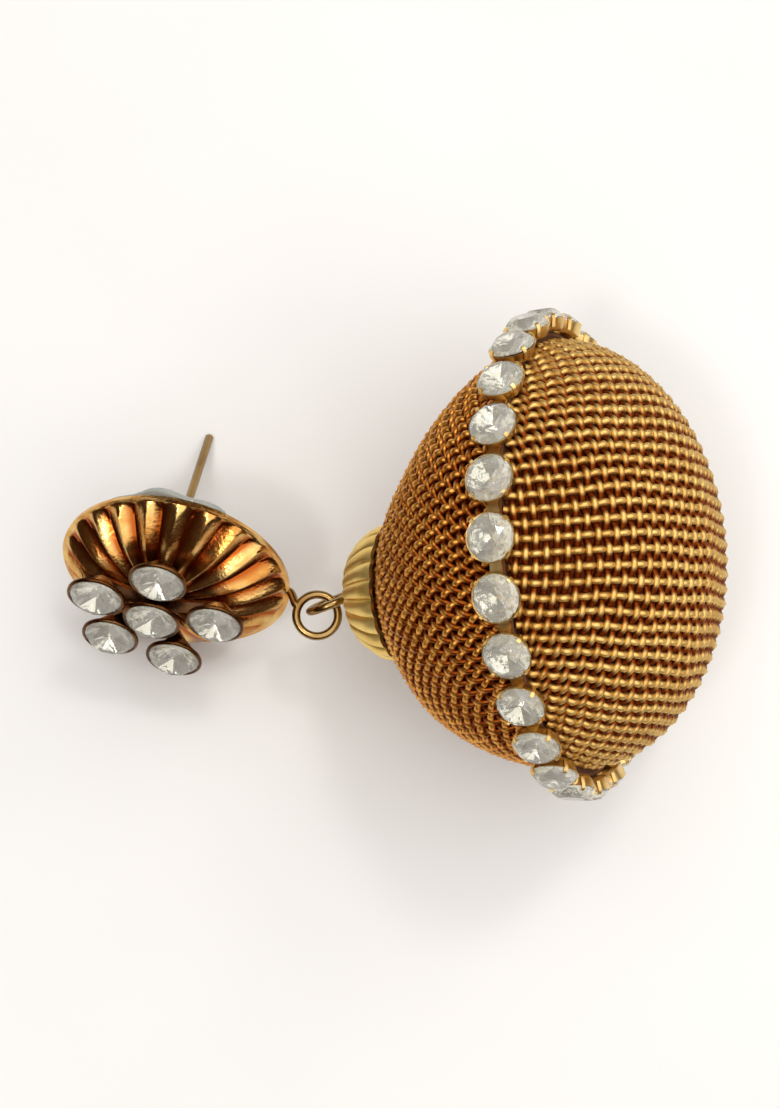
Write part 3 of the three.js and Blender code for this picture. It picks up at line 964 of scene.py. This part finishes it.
def cut_stone(radius, table_radius, crown, girdle, pavilion, mains=STONE_MAINS):
    """Points, faces and a foil flag for each face. The girdle's top lies at height 0."""
    star_radius = table_radius + (radius - table_radius) * STAR_SPREAD
    lower_height = -girdle - (pavilion - girdle) * LOWER_DEPTH
    rings = [
        ring_points(table_radius, crown, mains, 0.0),
        ring_points(star_radius, crown * STAR_HEIGHT, mains, 0.5),
        ring_points(radius, 0.0, 2 * mains, 0.0),
        ring_points(radius, -girdle, 2 * mains, 0.0),
        ring_points(radius * LOWER_RADIUS, lower_height, mains, 0.5),
        [(0.0, 0.0, -pavilion)],
    ]
    table, star, upper, lower, inner, point = [
        sum(len(ring) for ring in rings[:i]) for i in range(len(rings))
    ]
    double = 2 * mains
    crown_faces = [tuple(range(table, table + mains))]
    back_faces = []
    for k in range(mains):
        after = (k + 1) % mains
        before = (k - 1) % mains
        crown_faces.append((table + k, star + k, table + after))
        crown_faces.append((table + k, star + before, upper + 2 * k, star + k))
        back_faces.append((point, inner + before, lower + 2 * k, inner + k))
        for half in (0, 1):
            first = (2 * k + half) % double
            second = (2 * k + half + 1) % double
            crown_faces.append((star + k, upper + first, upper + second))
            crown_faces.append((upper + first, lower + first, lower + second, upper + second))
            back_faces.append((inner + k, lower + second, lower + first))
    flags = [0] * len(crown_faces) + [1] * len(back_faces)
    return ([p for ring in rings for p in ring], crown_faces + back_faces), flags


_, facets = cut_stone(1, table_radius=0.6, crown=0.4, girdle=0.1, pavilion=0.6)
print("facets of a stone:", len(facets))

# %% [markdown]
# ## The belt: a cup chain, as Geometry Nodes
#
# The belt is a bought cup chain: a row of small cups, each with its stone and
# four claws, on flat tabs. One cup is drawn in its own frame, +Z away from the
# ball and +Y along the chain, and a tree repeats it round the ball. The same
# tree repeats the stones. A face flag tells it which faces take the second
# material.

# %% The tree that repeats a piece round a ring
BELT_STONES = 27
BELT_BASE = BALL_RADIUS + 0.35  # where the undersides of the cups lie


def ring_tree():
    """Copies of a piece, evenly round the Z axis, each turned outwards and a little loose."""
    graph, given = start_tree("belt ring", {
        "Piece": ("Geometry", None),
        "Count": ("Int", BELT_STONES), "Radius": ("Float", BELT_BASE),
        "Looseness": ("Float", 0.0), "Seed": ("Int", 0),
        "Front": ("Material", None), "Back": ("Material", None),
    })
    index = graph.add("GeometryNodeInputIndex")
    angle = (index + 0.5) * (2 * math.pi) / given["Count"]
    spot = graph.vector(
        graph.math("COSINE", angle) * given["Radius"],
        graph.math("SINE", angle) * given["Radius"],
        0.0,
    )
    points = graph.add("GeometryNodePoints", None, {"Count": given["Count"], "Position": spot})
    shake = graph.add("FunctionNodeRandomValue", {"data_type": "FLOAT_VECTOR"}, {
        "Min": (-1.0, -1.0, -1.0), "Max": (1.0, 1.0, 1.0), "Seed": given["Seed"],
    })
    shake_x, shake_y, shake_z = graph.parts(shake)
    turn = graph.vector(
        shake_x * given["Looseness"],
        shake_y * given["Looseness"] + math.pi / 2,
        shake_z * given["Looseness"] + angle,
    )
    placed = graph.add("GeometryNodeInstanceOnPoints", None, {
        "Points": points, "Instance": given["Piece"], "Rotation": turn,
    })
    plain = graph.add("GeometryNodeRealizeInstances", None, {"Geometry": placed})
    fronts = graph.add("GeometryNodeSetMaterial", None, {
        "Geometry": plain, "Material": given["Front"],
    })
    return end_tree(graph, graph.add("GeometryNodeSetMaterial", None, {
        "Geometry": fronts, "Selection": graph.named("is_back", "BOOLEAN"),
        "Material": given["Back"],
    }))


belt_ring = ring_tree()


# %% A flat bar
def solid_bar(centre_line, width, thickness):
    """A flat bar that follows points in the XZ plane, its width along Y."""
    side = width / 2
    rings = []
    for (x, z), ((x0, z0), (x1, z1)) in zip(centre_line, neighbours(centre_line)):
        share = thickness / 2 / math.hypot(x1 - x0, z1 - z0)
        nx, nz = (z0 - z1) * share, (x1 - x0) * share
        rings.append([
            (x + nx, -side, z + nz), (x + nx, side, z + nz),
            (x - nx, side, z - nz), (x - nx, -side, z - nz),
        ])
    points, faces = ring_mesh(rings)
    last = 4 * (len(rings) - 1)
    return points, [*faces, (0, 1, 2, 3), (last + 3, last + 2, last + 1, last)]


print("faces of a bar:", len(solid_bar([(0, 0), (1, 0)], width=1, thickness=0.2)[1]))

# %% One cup of the chain
CUP_RADIUS = 1.64
CUP_FOOT = 1.2
CUP_PROFILE = [  # radius, height
    (0, 0), (CUP_FOOT, 0), (CUP_FOOT + 0.12, 0.12), (CUP_RADIUS, 0.85),
    (CUP_RADIUS - 0.13, 0.85), (CUP_FOOT - 0.05, 0.12), (0, 0.03),
]
CLAW_LINE = [  # radius, height
    (CUP_FOOT + 0.25, 0.25), (CUP_RADIUS + 0.02, 0.85),
    (CUP_RADIUS - 0.06, 1.08), (CUP_RADIUS - 0.18, 1.15),
]
CLAW_WIDTH = 0.24
CLAW_THICKNESS = 0.14
TAB_WIDTH = 0.8
TAB_THICKNESS = 0.24
TAB_LAP = 0.2  # how far a tab runs in under a cup


def chain_cup():
    """Cup, four claws and the tab to the next cup."""
    cup = turned_part(CUP_PROFILE, sides=20)
    claw = solid_bar(CLAW_LINE, CLAW_WIDTH, CLAW_THICKNESS)
    claws = [
        moved(claw, Matrix.Rotation(math.radians(45 + 90 * k), 4, "Z")) for k in range(4)
    ]
    half_step = math.pi / BELT_STONES
    half_tab = BELT_BASE * math.tan(half_step) - CUP_FOOT + TAB_LAP
    middle = TAB_THICKNESS / 2
    tab = solid_bar([(-half_tab, middle), (half_tab, middle)], TAB_WIDTH, TAB_THICKNESS)
    about_axis = (
        Matrix.Translation((0, 0, -BELT_BASE))
        @ Matrix.Rotation(-half_step, 4, "X")
        @ Matrix.Translation((0, 0, BELT_BASE))
        @ Matrix.Rotation(math.pi / 2, 4, "Z")
    )
    return gathered(cup, *claws, moved(tab, about_axis))


def plain_mesh(name, part, flags=None):
    """The mesh that a tree repeats, with a flag on the faces at its back."""
    mesh = mesh_of(name, part)
    turn_outwards(mesh)
    back = mesh.attributes.new("is_back", "BOOLEAN", "FACE")
    back.data.foreach_set("value", flags or [0] * len(mesh.polygons))
    return mesh


BELT_NODES = [f"belt_{i}" for i in range(1, 10)]
belt_chain = grown(
    "belt_chain", plain_mesh("chain cup", chain_cup()), belt_ring,
    {"Front": cup_gold, "Back": cup_gold}, BALL,
)
finish_piece(belt_chain, "pale_gold", *BELT_NODES)

# %% [markdown]
# Under the cups, the seam of the two cloths is closed by a band. Its dark brown
# is painted shade, for the shade under the chain. Its lips lie over the ends of
# the wires, and its inner side reaches into the former. A section that is
# turned about the ball's axis and closed on itself is enough.

# %% Band under the chain
BAND_EDGES = [  # from the ball's radius, and half of the width there
    (-0.95, 0.3), (0.02, 0.3), (0.06, 0.45), (0.26, 0.45),
]
band_section = [(BALL_RADIUS + out, -half) for out, half in BAND_EDGES]
band_section += [(BALL_RADIUS + out, half) for out, half in reversed(BAND_EDGES)]
band = turned_part(band_section, sides=120, closed_loop=True)
belt_band = mesh_object("belt_band", band, BALL, [shaded_band_brown])
finish_piece(belt_band, "pale_gold", *BELT_NODES)

# %% Belt stones
BELT_STONE_RADIUS = 1.55
BELT_STONE_TABLE = 0.9
BELT_STONE_TOP = 1.58  # above the cup's underside
STONE_GIRDLE = 0.92  # above the cup's underside
belt_stone, belt_flags = cut_stone(
    BELT_STONE_RADIUS, BELT_STONE_TABLE, crown=BELT_STONE_TOP - STONE_GIRDLE, girdle=0.12,
    pavilion=STONE_GIRDLE - 0.06,
)
belt_stone = moved(belt_stone, Matrix.Translation((0, 0, STONE_GIRDLE)))
belt_stones = grown(
    "belt_stones", plain_mesh("belt stone", belt_stone, belt_flags), belt_ring,
    {"Front": stone_glass, "Back": stone_foil, "Looseness": 0.045, "Seed": 5}, BALL, smooth=False,
)
finish_piece(belt_stones, "rhinestone", *BELT_NODES)

# %% [markdown]
# ## The bead cap
#
# A thin pressed cap closes the neck. Its ridges are broad and round and the
# grooves between them narrow and sharp, so it is not a sine wave but a row of
# arches: the ridge height follows the root of a cosine. Grooves cut in a cone
# would leave a wall that changes. Here the sheet's profile is pressed along its
# own normal, so the inside follows the outside as on a real pressing.

# %% Pressed sheets
SIDES_PER_FLUTE = 12


def smooth_profile(knots, steps):
    """Points on a smooth curve through knots, which may hold more than two values."""
    points = []
    for i in range(len(knots) - 1):
        before = knots[max(i - 1, 0)]
        start, end = knots[i], knots[i + 1]
        after = knots[min(i + 2, len(knots) - 1)]
        for step in range(steps):
            t = step / steps
            points.append(tuple(
                0.5 * (2 * p1 + (p2 - p0) * t + (2 * p0 - 5 * p1 + 4 * p2 - p3) * t * t
                       + (3 * p1 - p0 - 3 * p2 + p3) * t ** 3)
                for p0, p1, p2, p3 in zip(before, start, end, after)
            ))
    points.append(tuple(knots[-1]))
    return points


def pressed_sheet(knots, wall, flutes, shape, steps=4):
    """A sheet of revolution, knots of (radius, height, press), pressed by shape(angle, flutes)."""
    around = flutes * SIDES_PER_FLUTE
    line = smooth_profile(knots, steps)
    outer = []
    inner = []
    for (radius, height, press), (before, after) in zip(line, neighbours(line)):
        run, rise = abs(after[0] - before[0]), abs(after[1] - before[1])
        length = math.hypot(run, rise) or 1.0
        for rings, lift in ((inner, 0.0), (outer, wall)):
            ring = []
            for k in range(around):
                angle = 2 * math.pi * k / around
                push = (lift + press * (2 * shape(angle, flutes) - 1)) / length
                r = radius + rise * push
                ring.append((r * math.cos(angle), r * math.sin(angle), height + run * push))
            rings.append(ring)
    return ring_mesh(outer + inner[::-1], closed_loop=True)


print("sides of a flute:", SIDES_PER_FLUTE)

# %% Bead cap
CAP_RIM_PLANE = 13.15  # from the belt's plane
CAP_FLUTES = 22
CAP_WALL = 0.35
ARCH_POWER = 0.55  # 1 is a plain cosine, less is rounder
WIRE_RADIUS = 0.31
CAP_KNOTS = [  # radius, height above the rim, press of the flutes
    (4.6, 0, 0.10), (4.3, 1.0, 0.16), (3.2, 2.4, 0.14), (1.7, 3.1, 0.03),
    (WIRE_RADIUS + 0.1, 3.15, 0),
]
NECK = BALL @ Matrix.Translation((0, -LEAN, 0))


def arches(angle, flutes):
    """1 on a ridge and 0 in a groove, with round ridges and sharp grooves."""
    return abs(math.cos(flutes * angle / 2)) ** ARCH_POWER


cap = pressed_sheet(CAP_KNOTS, CAP_WALL, CAP_FLUTES, arches)
cap_place = NECK @ Matrix.Translation((0, 0, -CAP_RIM_PLANE)) @ Matrix.Rotation(math.pi, 4, "X")
cap_shell = mesh_object("cap_shell", cap, cap_place, [cap_gold])
finish_piece(cap_shell, "pale_gold", "bead_cap")

# %% [markdown]
# ## Eye, drop ring and tail
#
# The ball hangs on a wire eye, bent a little aside. The ring of the stud lies
# through it, and its tail bends up to the dish's rim, where it is soldered.
# Each is a round wire along points worked out from the same sizes as the
# solids. A bevelled curve would do as well, but its ends would be cut flat.

# %% The eye
EYE_CENTRE = 18.66  # from the belt's plane
EYE_RADIUS = 1.57
EYE_OPENING = 30  # degrees that are missing from a full turn
EYE_BEND = 14.5  # degrees aside, from the pin
EYE_TWIST = 15.4  # degrees about the pin
PIN_STRAIGHT = (-11.5, -14.0)  # heights of the pin's straight part, from the belt
SHANK_TOP = 0.4  # above the eye's circle
LINK_SIDES = 16

eye_root = Vector((0, 0, EYE_RADIUS - EYE_CENTRE))
eye_bend = (
    Matrix.Translation(eye_root)
    @ Matrix.Rotation(math.radians(-EYE_BEND), 4, "X")
    @ Matrix.Rotation(math.radians(EYE_TWIST), 4, "Z")
    @ Matrix.Translation(-eye_root)
)


def eye_path(steps=72):
    """Up the pin, aside at its bend and once round the eye."""
    points = [Vector((0, 0, height)) for height in PIN_STRAIGHT]
    points.append(eye_root + Vector((0, 0, SHANK_TOP)))
    for i in range(steps + 1):
        angle = math.radians(90 + (360 - EYE_OPENING) * i / steps)
        flat = Vector((math.cos(angle), 0, math.sin(angle))) * EYE_RADIUS
        points.append(eye_bend @ (flat - Vector((0, 0, EYE_CENTRE))))
    return points


eye = round_wire(eye_path(), WIRE_RADIUS, LINK_SIDES)
eye_wire = mesh_object("eye_wire", eye, NECK, [shaded_link_gold])
finish_piece(eye_wire, "pale_gold", "eye_pin")

# %% The drop ring and its tail
RING_RADIUS = 1.54
RING_OFFSET = Vector((-0.925, -0.886, 0.0))  # from the eye's middle
RING_JOINT = 155  # degrees round the ring, where the tail meets it
TAIL_ANGLE = 3  # degrees from the stud's +Y, where it leaves the rim
TAIL_REACH = 0.35  # how far it aims past the rim
TAIL_EASE = 0.5  # how softly it turns into the ring

eye_middle = NECK @ eye_bend @ Vector((0, 0, -EYE_CENTRE))
ring_middle = eye_middle / MM + RING_OFFSET
stud_in_mm = Matrix.Scale(1 / MM, 4) @ STUD


def bezier(p0, p1, p2, p3, steps):
    """Points on the curve from p0 to p3 that leaves towards p1 and arrives from p2."""
    points = []
    for i in range(steps + 1):
        t = i / steps
        s = 1 - t
        points.append(p0 * s ** 3 + p1 * 3 * s * s * t + p2 * 3 * s * t * t + p3 * t ** 3)
    return points


def closed_ring(middle, radius, wire_radius, steps):
    """A round wire bent into a closed, level ring."""
    section = ring_points(wire_radius, 0.0, LINK_SIDES)
    rings = []
    for i in range(steps):
        outwards = spoke(360 * i / steps)
        rings.append([middle + outwards * (radius + x) + Vector((0, 0, y)) for x, y, _ in section])
    return ring_mesh(rings, closed_loop=True)


def tail_path():
    """From inside the rim, straight out of it and into the ring."""
    side = math.radians(TAIL_ANGLE)
    outwards = Vector((-math.sin(side), math.cos(side), 0))
    rim_middle = Vector((0, DISH_SLIP, 0))
    root = rim_middle + outwards * (DISH_RADIUS - WIRE_RADIUS) + Vector((0, 0, WIRE_RADIUS / 2))
    away = spoke(RING_JOINT)
    joint = ring_middle + away * RING_RADIUS
    return bezier(
        stud_in_mm @ root,
        stud_in_mm @ (rim_middle + outwards * (DISH_RADIUS + TAIL_REACH)),
        joint + away * TAIL_EASE, joint, steps=16,
    )


link = gathered(
    closed_ring(ring_middle, RING_RADIUS, WIRE_RADIUS, steps=72),
    round_wire(tail_path(), WIRE_RADIUS, LINK_SIDES),
)
drop_ring = mesh_object("drop_ring", link, Matrix.Scale(MM, 4), [shaded_link_gold])
finish_piece(drop_ring, "pale_gold", "stud_dish")

# %% [markdown]
# ## The fluted dish
#
# The stud is a thin pressed dish. Its flutes are V shaped, start in the middle
# and end in a small bulge before a plain lip, which is why a row of small
# round lights runs round the rim. It is the cap's pressed sheet again, with a
# straighter wave. The folds are told apart by a crease and by painted shade in
# the crest attribute, because a fold that is only shaded looks soft.

# %% Dish
DISH_FLUTES = 22
DISH_WALL = 0.3
DISH_HOLE = 1.1
DISH_LIP = 8.0  # radius where the painted shade of the folds gives way to the plain lip
DISH_KNOTS = [  # radius, height above the rim, press of the flutes
    (DISH_RADIUS - 0.02, 0.0, 0), (8.32, 0.03, 0), (8.1, 0.1, 0.08), (7.5, 0.5, 0.25),
    (5.5, 1.9, 0.25), (3.2, 2.55, 0.12), (DISH_HOLE, 2.65, 0),
]
FOLD_CREASE = math.radians(40)
SHARPNESS = 0.99  # 1 is a knife-sharp crest


def vees(angle, flutes):
    """From 1 on a ridge to 0 in a fold, straight between and a little rounded at both."""
    slope = math.asin(SHARPNESS * math.cos(flutes * angle))
    return 0.5 + slope / (2 * math.asin(SHARPNESS))


def slipped(point):
    """The rim has slipped off the hole's axis, and the sheet between them is drawn along."""
    x, y, z = point
    share = share_of(math.hypot(x, y), DISH_HOLE, DISH_RADIUS - DISH_HOLE)
    return (x, y + DISH_SLIP * share, z)


def painted_fold_light(point):
    """Painted light of the dish at a point: painted shade in the folds, none at the lip."""
    x, y, _ = point
    lip = share_of(math.hypot(x, y), DISH_LIP, 0.3)
    return max(vees(math.atan2(y, x), DISH_FLUTES), lip)


dish_points, dish_faces = pressed_sheet(DISH_KNOTS, DISH_WALL, DISH_FLUTES, vees, steps=5)
dish = [slipped(point) for point in dish_points], dish_faces
dish_shell = mesh_object("dish_shell", dish, STUD, [dish_gold])
dish_shell.data.set_sharp_from_angle(angle=FOLD_CREASE)
# Painted shade in the folds, stored as crest for the dish's metal.
crest_layer = dish_shell.data.attributes.new("crest", "FLOAT", "POINT")
crest_layer.data.foreach_set("value", [painted_fold_light(point) for point in dish_points])
finish_piece(dish_shell, "dish_gold", "stud_dish")

# %% [markdown]
# ## The raised flower
#
# Six conical cups stand on a stem above the dish, five round one. Each is a
# turned cup whose rim folds over the girdle of its stone. The cups don't stand
# quite evenly, so their places are an angle and a distance each and not a ring.

# %% Flower cups
PETALS = [  # degrees from the downhill direction, and distance from the middle
    (176, 4.9), (249, 4.4), (316, 4.35), (23, 4.65), (105, 4.8),
]
FLOWER_BASE = 3.3  # from the plane of the dish's rim, as all heights here
FLOWER_RIM = 5.02
FLOWER_CUP_RADIUS = 2.12
STONE_RADIUS = 2.0
FLOWER_CUP = [  # radius, height
    (0, FLOWER_BASE), (0.6, FLOWER_BASE), (0.75, 3.42), (1.15, 3.85), (1.2, 3.95),
    (1.7, 4.45), (1.76, 4.55), (FLOWER_CUP_RADIUS, 4.8), (FLOWER_CUP_RADIUS, FLOWER_RIM - 0.06),
    (FLOWER_CUP_RADIUS - 0.08, FLOWER_RIM), (STONE_RADIUS - 0.06, FLOWER_RIM + 0.02),
    (STONE_RADIUS - 0.02, FLOWER_RIM - 0.1), (1.6, 4.5), (0, 3.55),
]
STEM = [(0, 2.7), (0.8, 2.7), (0.8, 3.36), (0, 3.36)]  # radius, height
ARM_LIFT = 0.15  # of the arms above the feet of the cups
ARM_WIDTH = 1.3
ARM_THICKNESS = 0.24

petal_spots = [Vector((0, 0, 0))] + [spoke(degrees) * distance for degrees, distance in PETALS]
flower_cup = turned_part(FLOWER_CUP, sides=40)
cup_parts = [moved(flower_cup, Matrix.Translation(spot)) for spot in petal_spots]
arms = []
arm_height = FLOWER_BASE + ARM_LIFT
for spot in petal_spots[1:]:
    arm = solid_bar([(0, arm_height), (spot.length, arm_height)], ARM_WIDTH, ARM_THICKNESS)
    arms.append(moved(arm, Matrix.Rotation(math.atan2(spot.y, spot.x), 4, "Z")))
flower = gathered(*cup_parts, turned_part(STEM, sides=24), *arms)
# The cups take the dark rim gold: painted shade round the stones.
flower_cups = mesh_object("flower_cups", flower, STUD, [shaded_rim_gold])
finish_piece(flower_cups, "dish_gold", "flower_setting")

# %% Flower stones
STONE_TURN = 0.4  # radians from one stone to the next, so that no two glint alike
flower_stone, flower_flags = cut_stone(
    STONE_RADIUS, table_radius=1.12, crown=0.80, girdle=0.14, pavilion=PAVILION,
)
all_stones = gathered(*[
    moved(flower_stone, Matrix.Translation(spot + Vector((0, 0, GIRDLE_PLANE)))
          @ Matrix.Rotation(STONE_TURN * i, 4, "Z"))
    for i, spot in enumerate(petal_spots)
])
flower_stones = mesh_object(
    "flower_stones", all_stones, STUD, [stone_glass, stone_foil],
    smooth=False, face_materials=flower_flags * len(petal_spots),
)
finish_piece(flower_stones, "rhinestone", *[f"flower_stone_{i}" for i in range(1, 7)])

# %% [markdown]
# ## Post and clutch
#
# The post is plain round wire on a small pad behind the dish. The clutch is
# one soft, clear moulding: a lens with a wavy edge that runs into a sleeve. Its
# scallops are one cosine that fades out inwards, so the sleeve stays round.

# %% Post
PAD = [  # radius, height
    (0, 2.35), (1.7, 2.35), (1.8, 2.25), (1.8, 2.05), (1.7, 1.95), (0.75, 1.92), (0, 1.92),
]
PIN = [(0, 2.1), (0.65, 2.1), (0.4, 1.7), (POST_RADIUS, 1.4)]  # with its solder
PIN_TIP = [(POST_RADIUS, POST_TIP), (0.27, 0.13), (0.18, 0.04), (0, 0.02)]  # above the tip

post_bend = Matrix.Rotation(math.radians(POST_BEND), 4, "X")
pin_profile = PIN + [(radius, height - POST_REACH) for radius, height in PIN_TIP]
post = gathered(turned_part(PAD, sides=40), moved(turned_part(pin_profile, sides=24), post_bend))
post_wire = mesh_object("post_wire", post, STUD, [shaded_link_gold])
finish_piece(post_wire, "pale_gold", "ear_post")

# %% Clutch
CLUTCH_FACE = -2.5  # from the plane of the dish's rim
CLUTCH_SIDES = 128
CLUTCH_KNOTS = [  # radius, height from the face
    (0.5, -0.02), (3.2, 0.05), (5.3, 0.28), (6.0, 0.05), (5.5, -0.5), (3.0, -0.9),
    (1.7, -1.2), (1.45, -1.8), (1.2, -2.25), (0.55, -2.38),
]
SCALLOPS = 8
SCALLOP_DEPTH = 0.45
SCALLOP_TURN = 8  # degrees that the valleys are turned from the downhill direction
SCALLOP_START = 3.5  # radius up to which the disc is round
SCALLOP_SPAN = 2.3
clear_plastic = clouded(
    "clear plastic", (0.92, 0.96, 0.93), (0.82, 0.89, 0.85), 500.0, 3.0, 0.15, 0.2,
    relief=0.25, clear=(1.45, 0.6),
)
clutch_rings = []
for radius, height in smooth_profile(CLUTCH_KNOTS, steps=5):
    depth = share_of(radius, SCALLOP_START, SCALLOP_SPAN) * SCALLOP_DEPTH / 2
    ring = []
    for k in range(CLUTCH_SIDES):
        angle = 2 * math.pi * k / CLUTCH_SIDES
        wave = math.cos(SCALLOPS * (angle + math.radians(SCALLOP_TURN)))
        pressed = radius - depth * (1 + wave)
        ring.append((pressed * math.cos(angle), pressed * math.sin(angle), height))
    clutch_rings.append(ring)
clutch = ring_mesh(clutch_rings, closed_loop=True)
clutch_place = STUD @ post_bend @ Matrix.Translation((0, 0, CLUTCH_FACE))
clutch_disc = mesh_object("clutch_disc", clutch, clutch_place, [clear_plastic])
finish_piece(clutch_disc, "clear_plastic", "ear_clutch")

# %% [markdown]
# ## Floor and light
#
# A pale floor under one wide soft box overhead. Metal shows what is round it:
# the crowns of the wires turn towards the box and light up, while their flanks
# see a dim, warm room. Two small lamps add the sparkle on stones and folds.

# %% Stage
FLOOR_HALF = 0.6

corners = [(x * FLOOR_HALF, y * FLOOR_HALF, 0) for x, y in ((-1, -1), (1, -1), (1, 1), (-1, 1))]
floor_mesh = mesh_of("floor", (corners, [(0, 1, 2, 3)]))
floor_mesh.materials.append(
    clouded("floor", (0.94, 0.94, 0.94), (0.91, 0.91, 0.91), 40.0, 2.0, 0.7)
)
floor = linked("floor", floor_mesh)
print("floor (mm):", round(2 * FLOOR_HALF / MM))

# %% Lamps and room
LAMPS = [  # name, place in metres, size, power, colour
    ("top box", (0.14, 0.04, 0.46), 1.0, 4.9, (1.0, 0.99, 0.96)),
    ("far lamp", (0.10, 0.22, 0.45), 0.07, 0.30, (1.0, 0.98, 0.92)),
    ("near lamp", (-0.15, -0.12, 0.48), 0.07, 0.30, (1.0, 0.98, 0.92)),
]
ROOM_COLOR = (1.0, 0.52, 0.34)
ROOM_LIGHT = 0.05


def soft_box(name, place, size, power, color):
    """A square lamp that looks at the earring."""
    data = bpy.data.lights.new(name, "AREA")
    data.shape = "RECTANGLE"
    data.size = size
    data.size_y = size
    data.energy = power
    data.color = color
    lamp = linked(name, data)
    spot = Vector(place)
    lamp.matrix_world = Matrix.Translation(spot) @ (
        (view_target - spot).to_track_quat("-Z", "Y").to_matrix().to_4x4()
    )


for lamp in LAMPS:
    soft_box(*lamp)
world = bpy.data.worlds.new("room")
world.use_nodes = True
bpy.context.scene.world = world
background = world.node_tree.nodes["Background"]
background.inputs["Color"].default_value = rgba(ROOM_COLOR)
background.inputs["Strength"].default_value = ROOM_LIGHT
bpy.context.scene.view_settings.view_transform = "Standard"
print("lamps:", [lamp[0] for lamp in LAMPS])
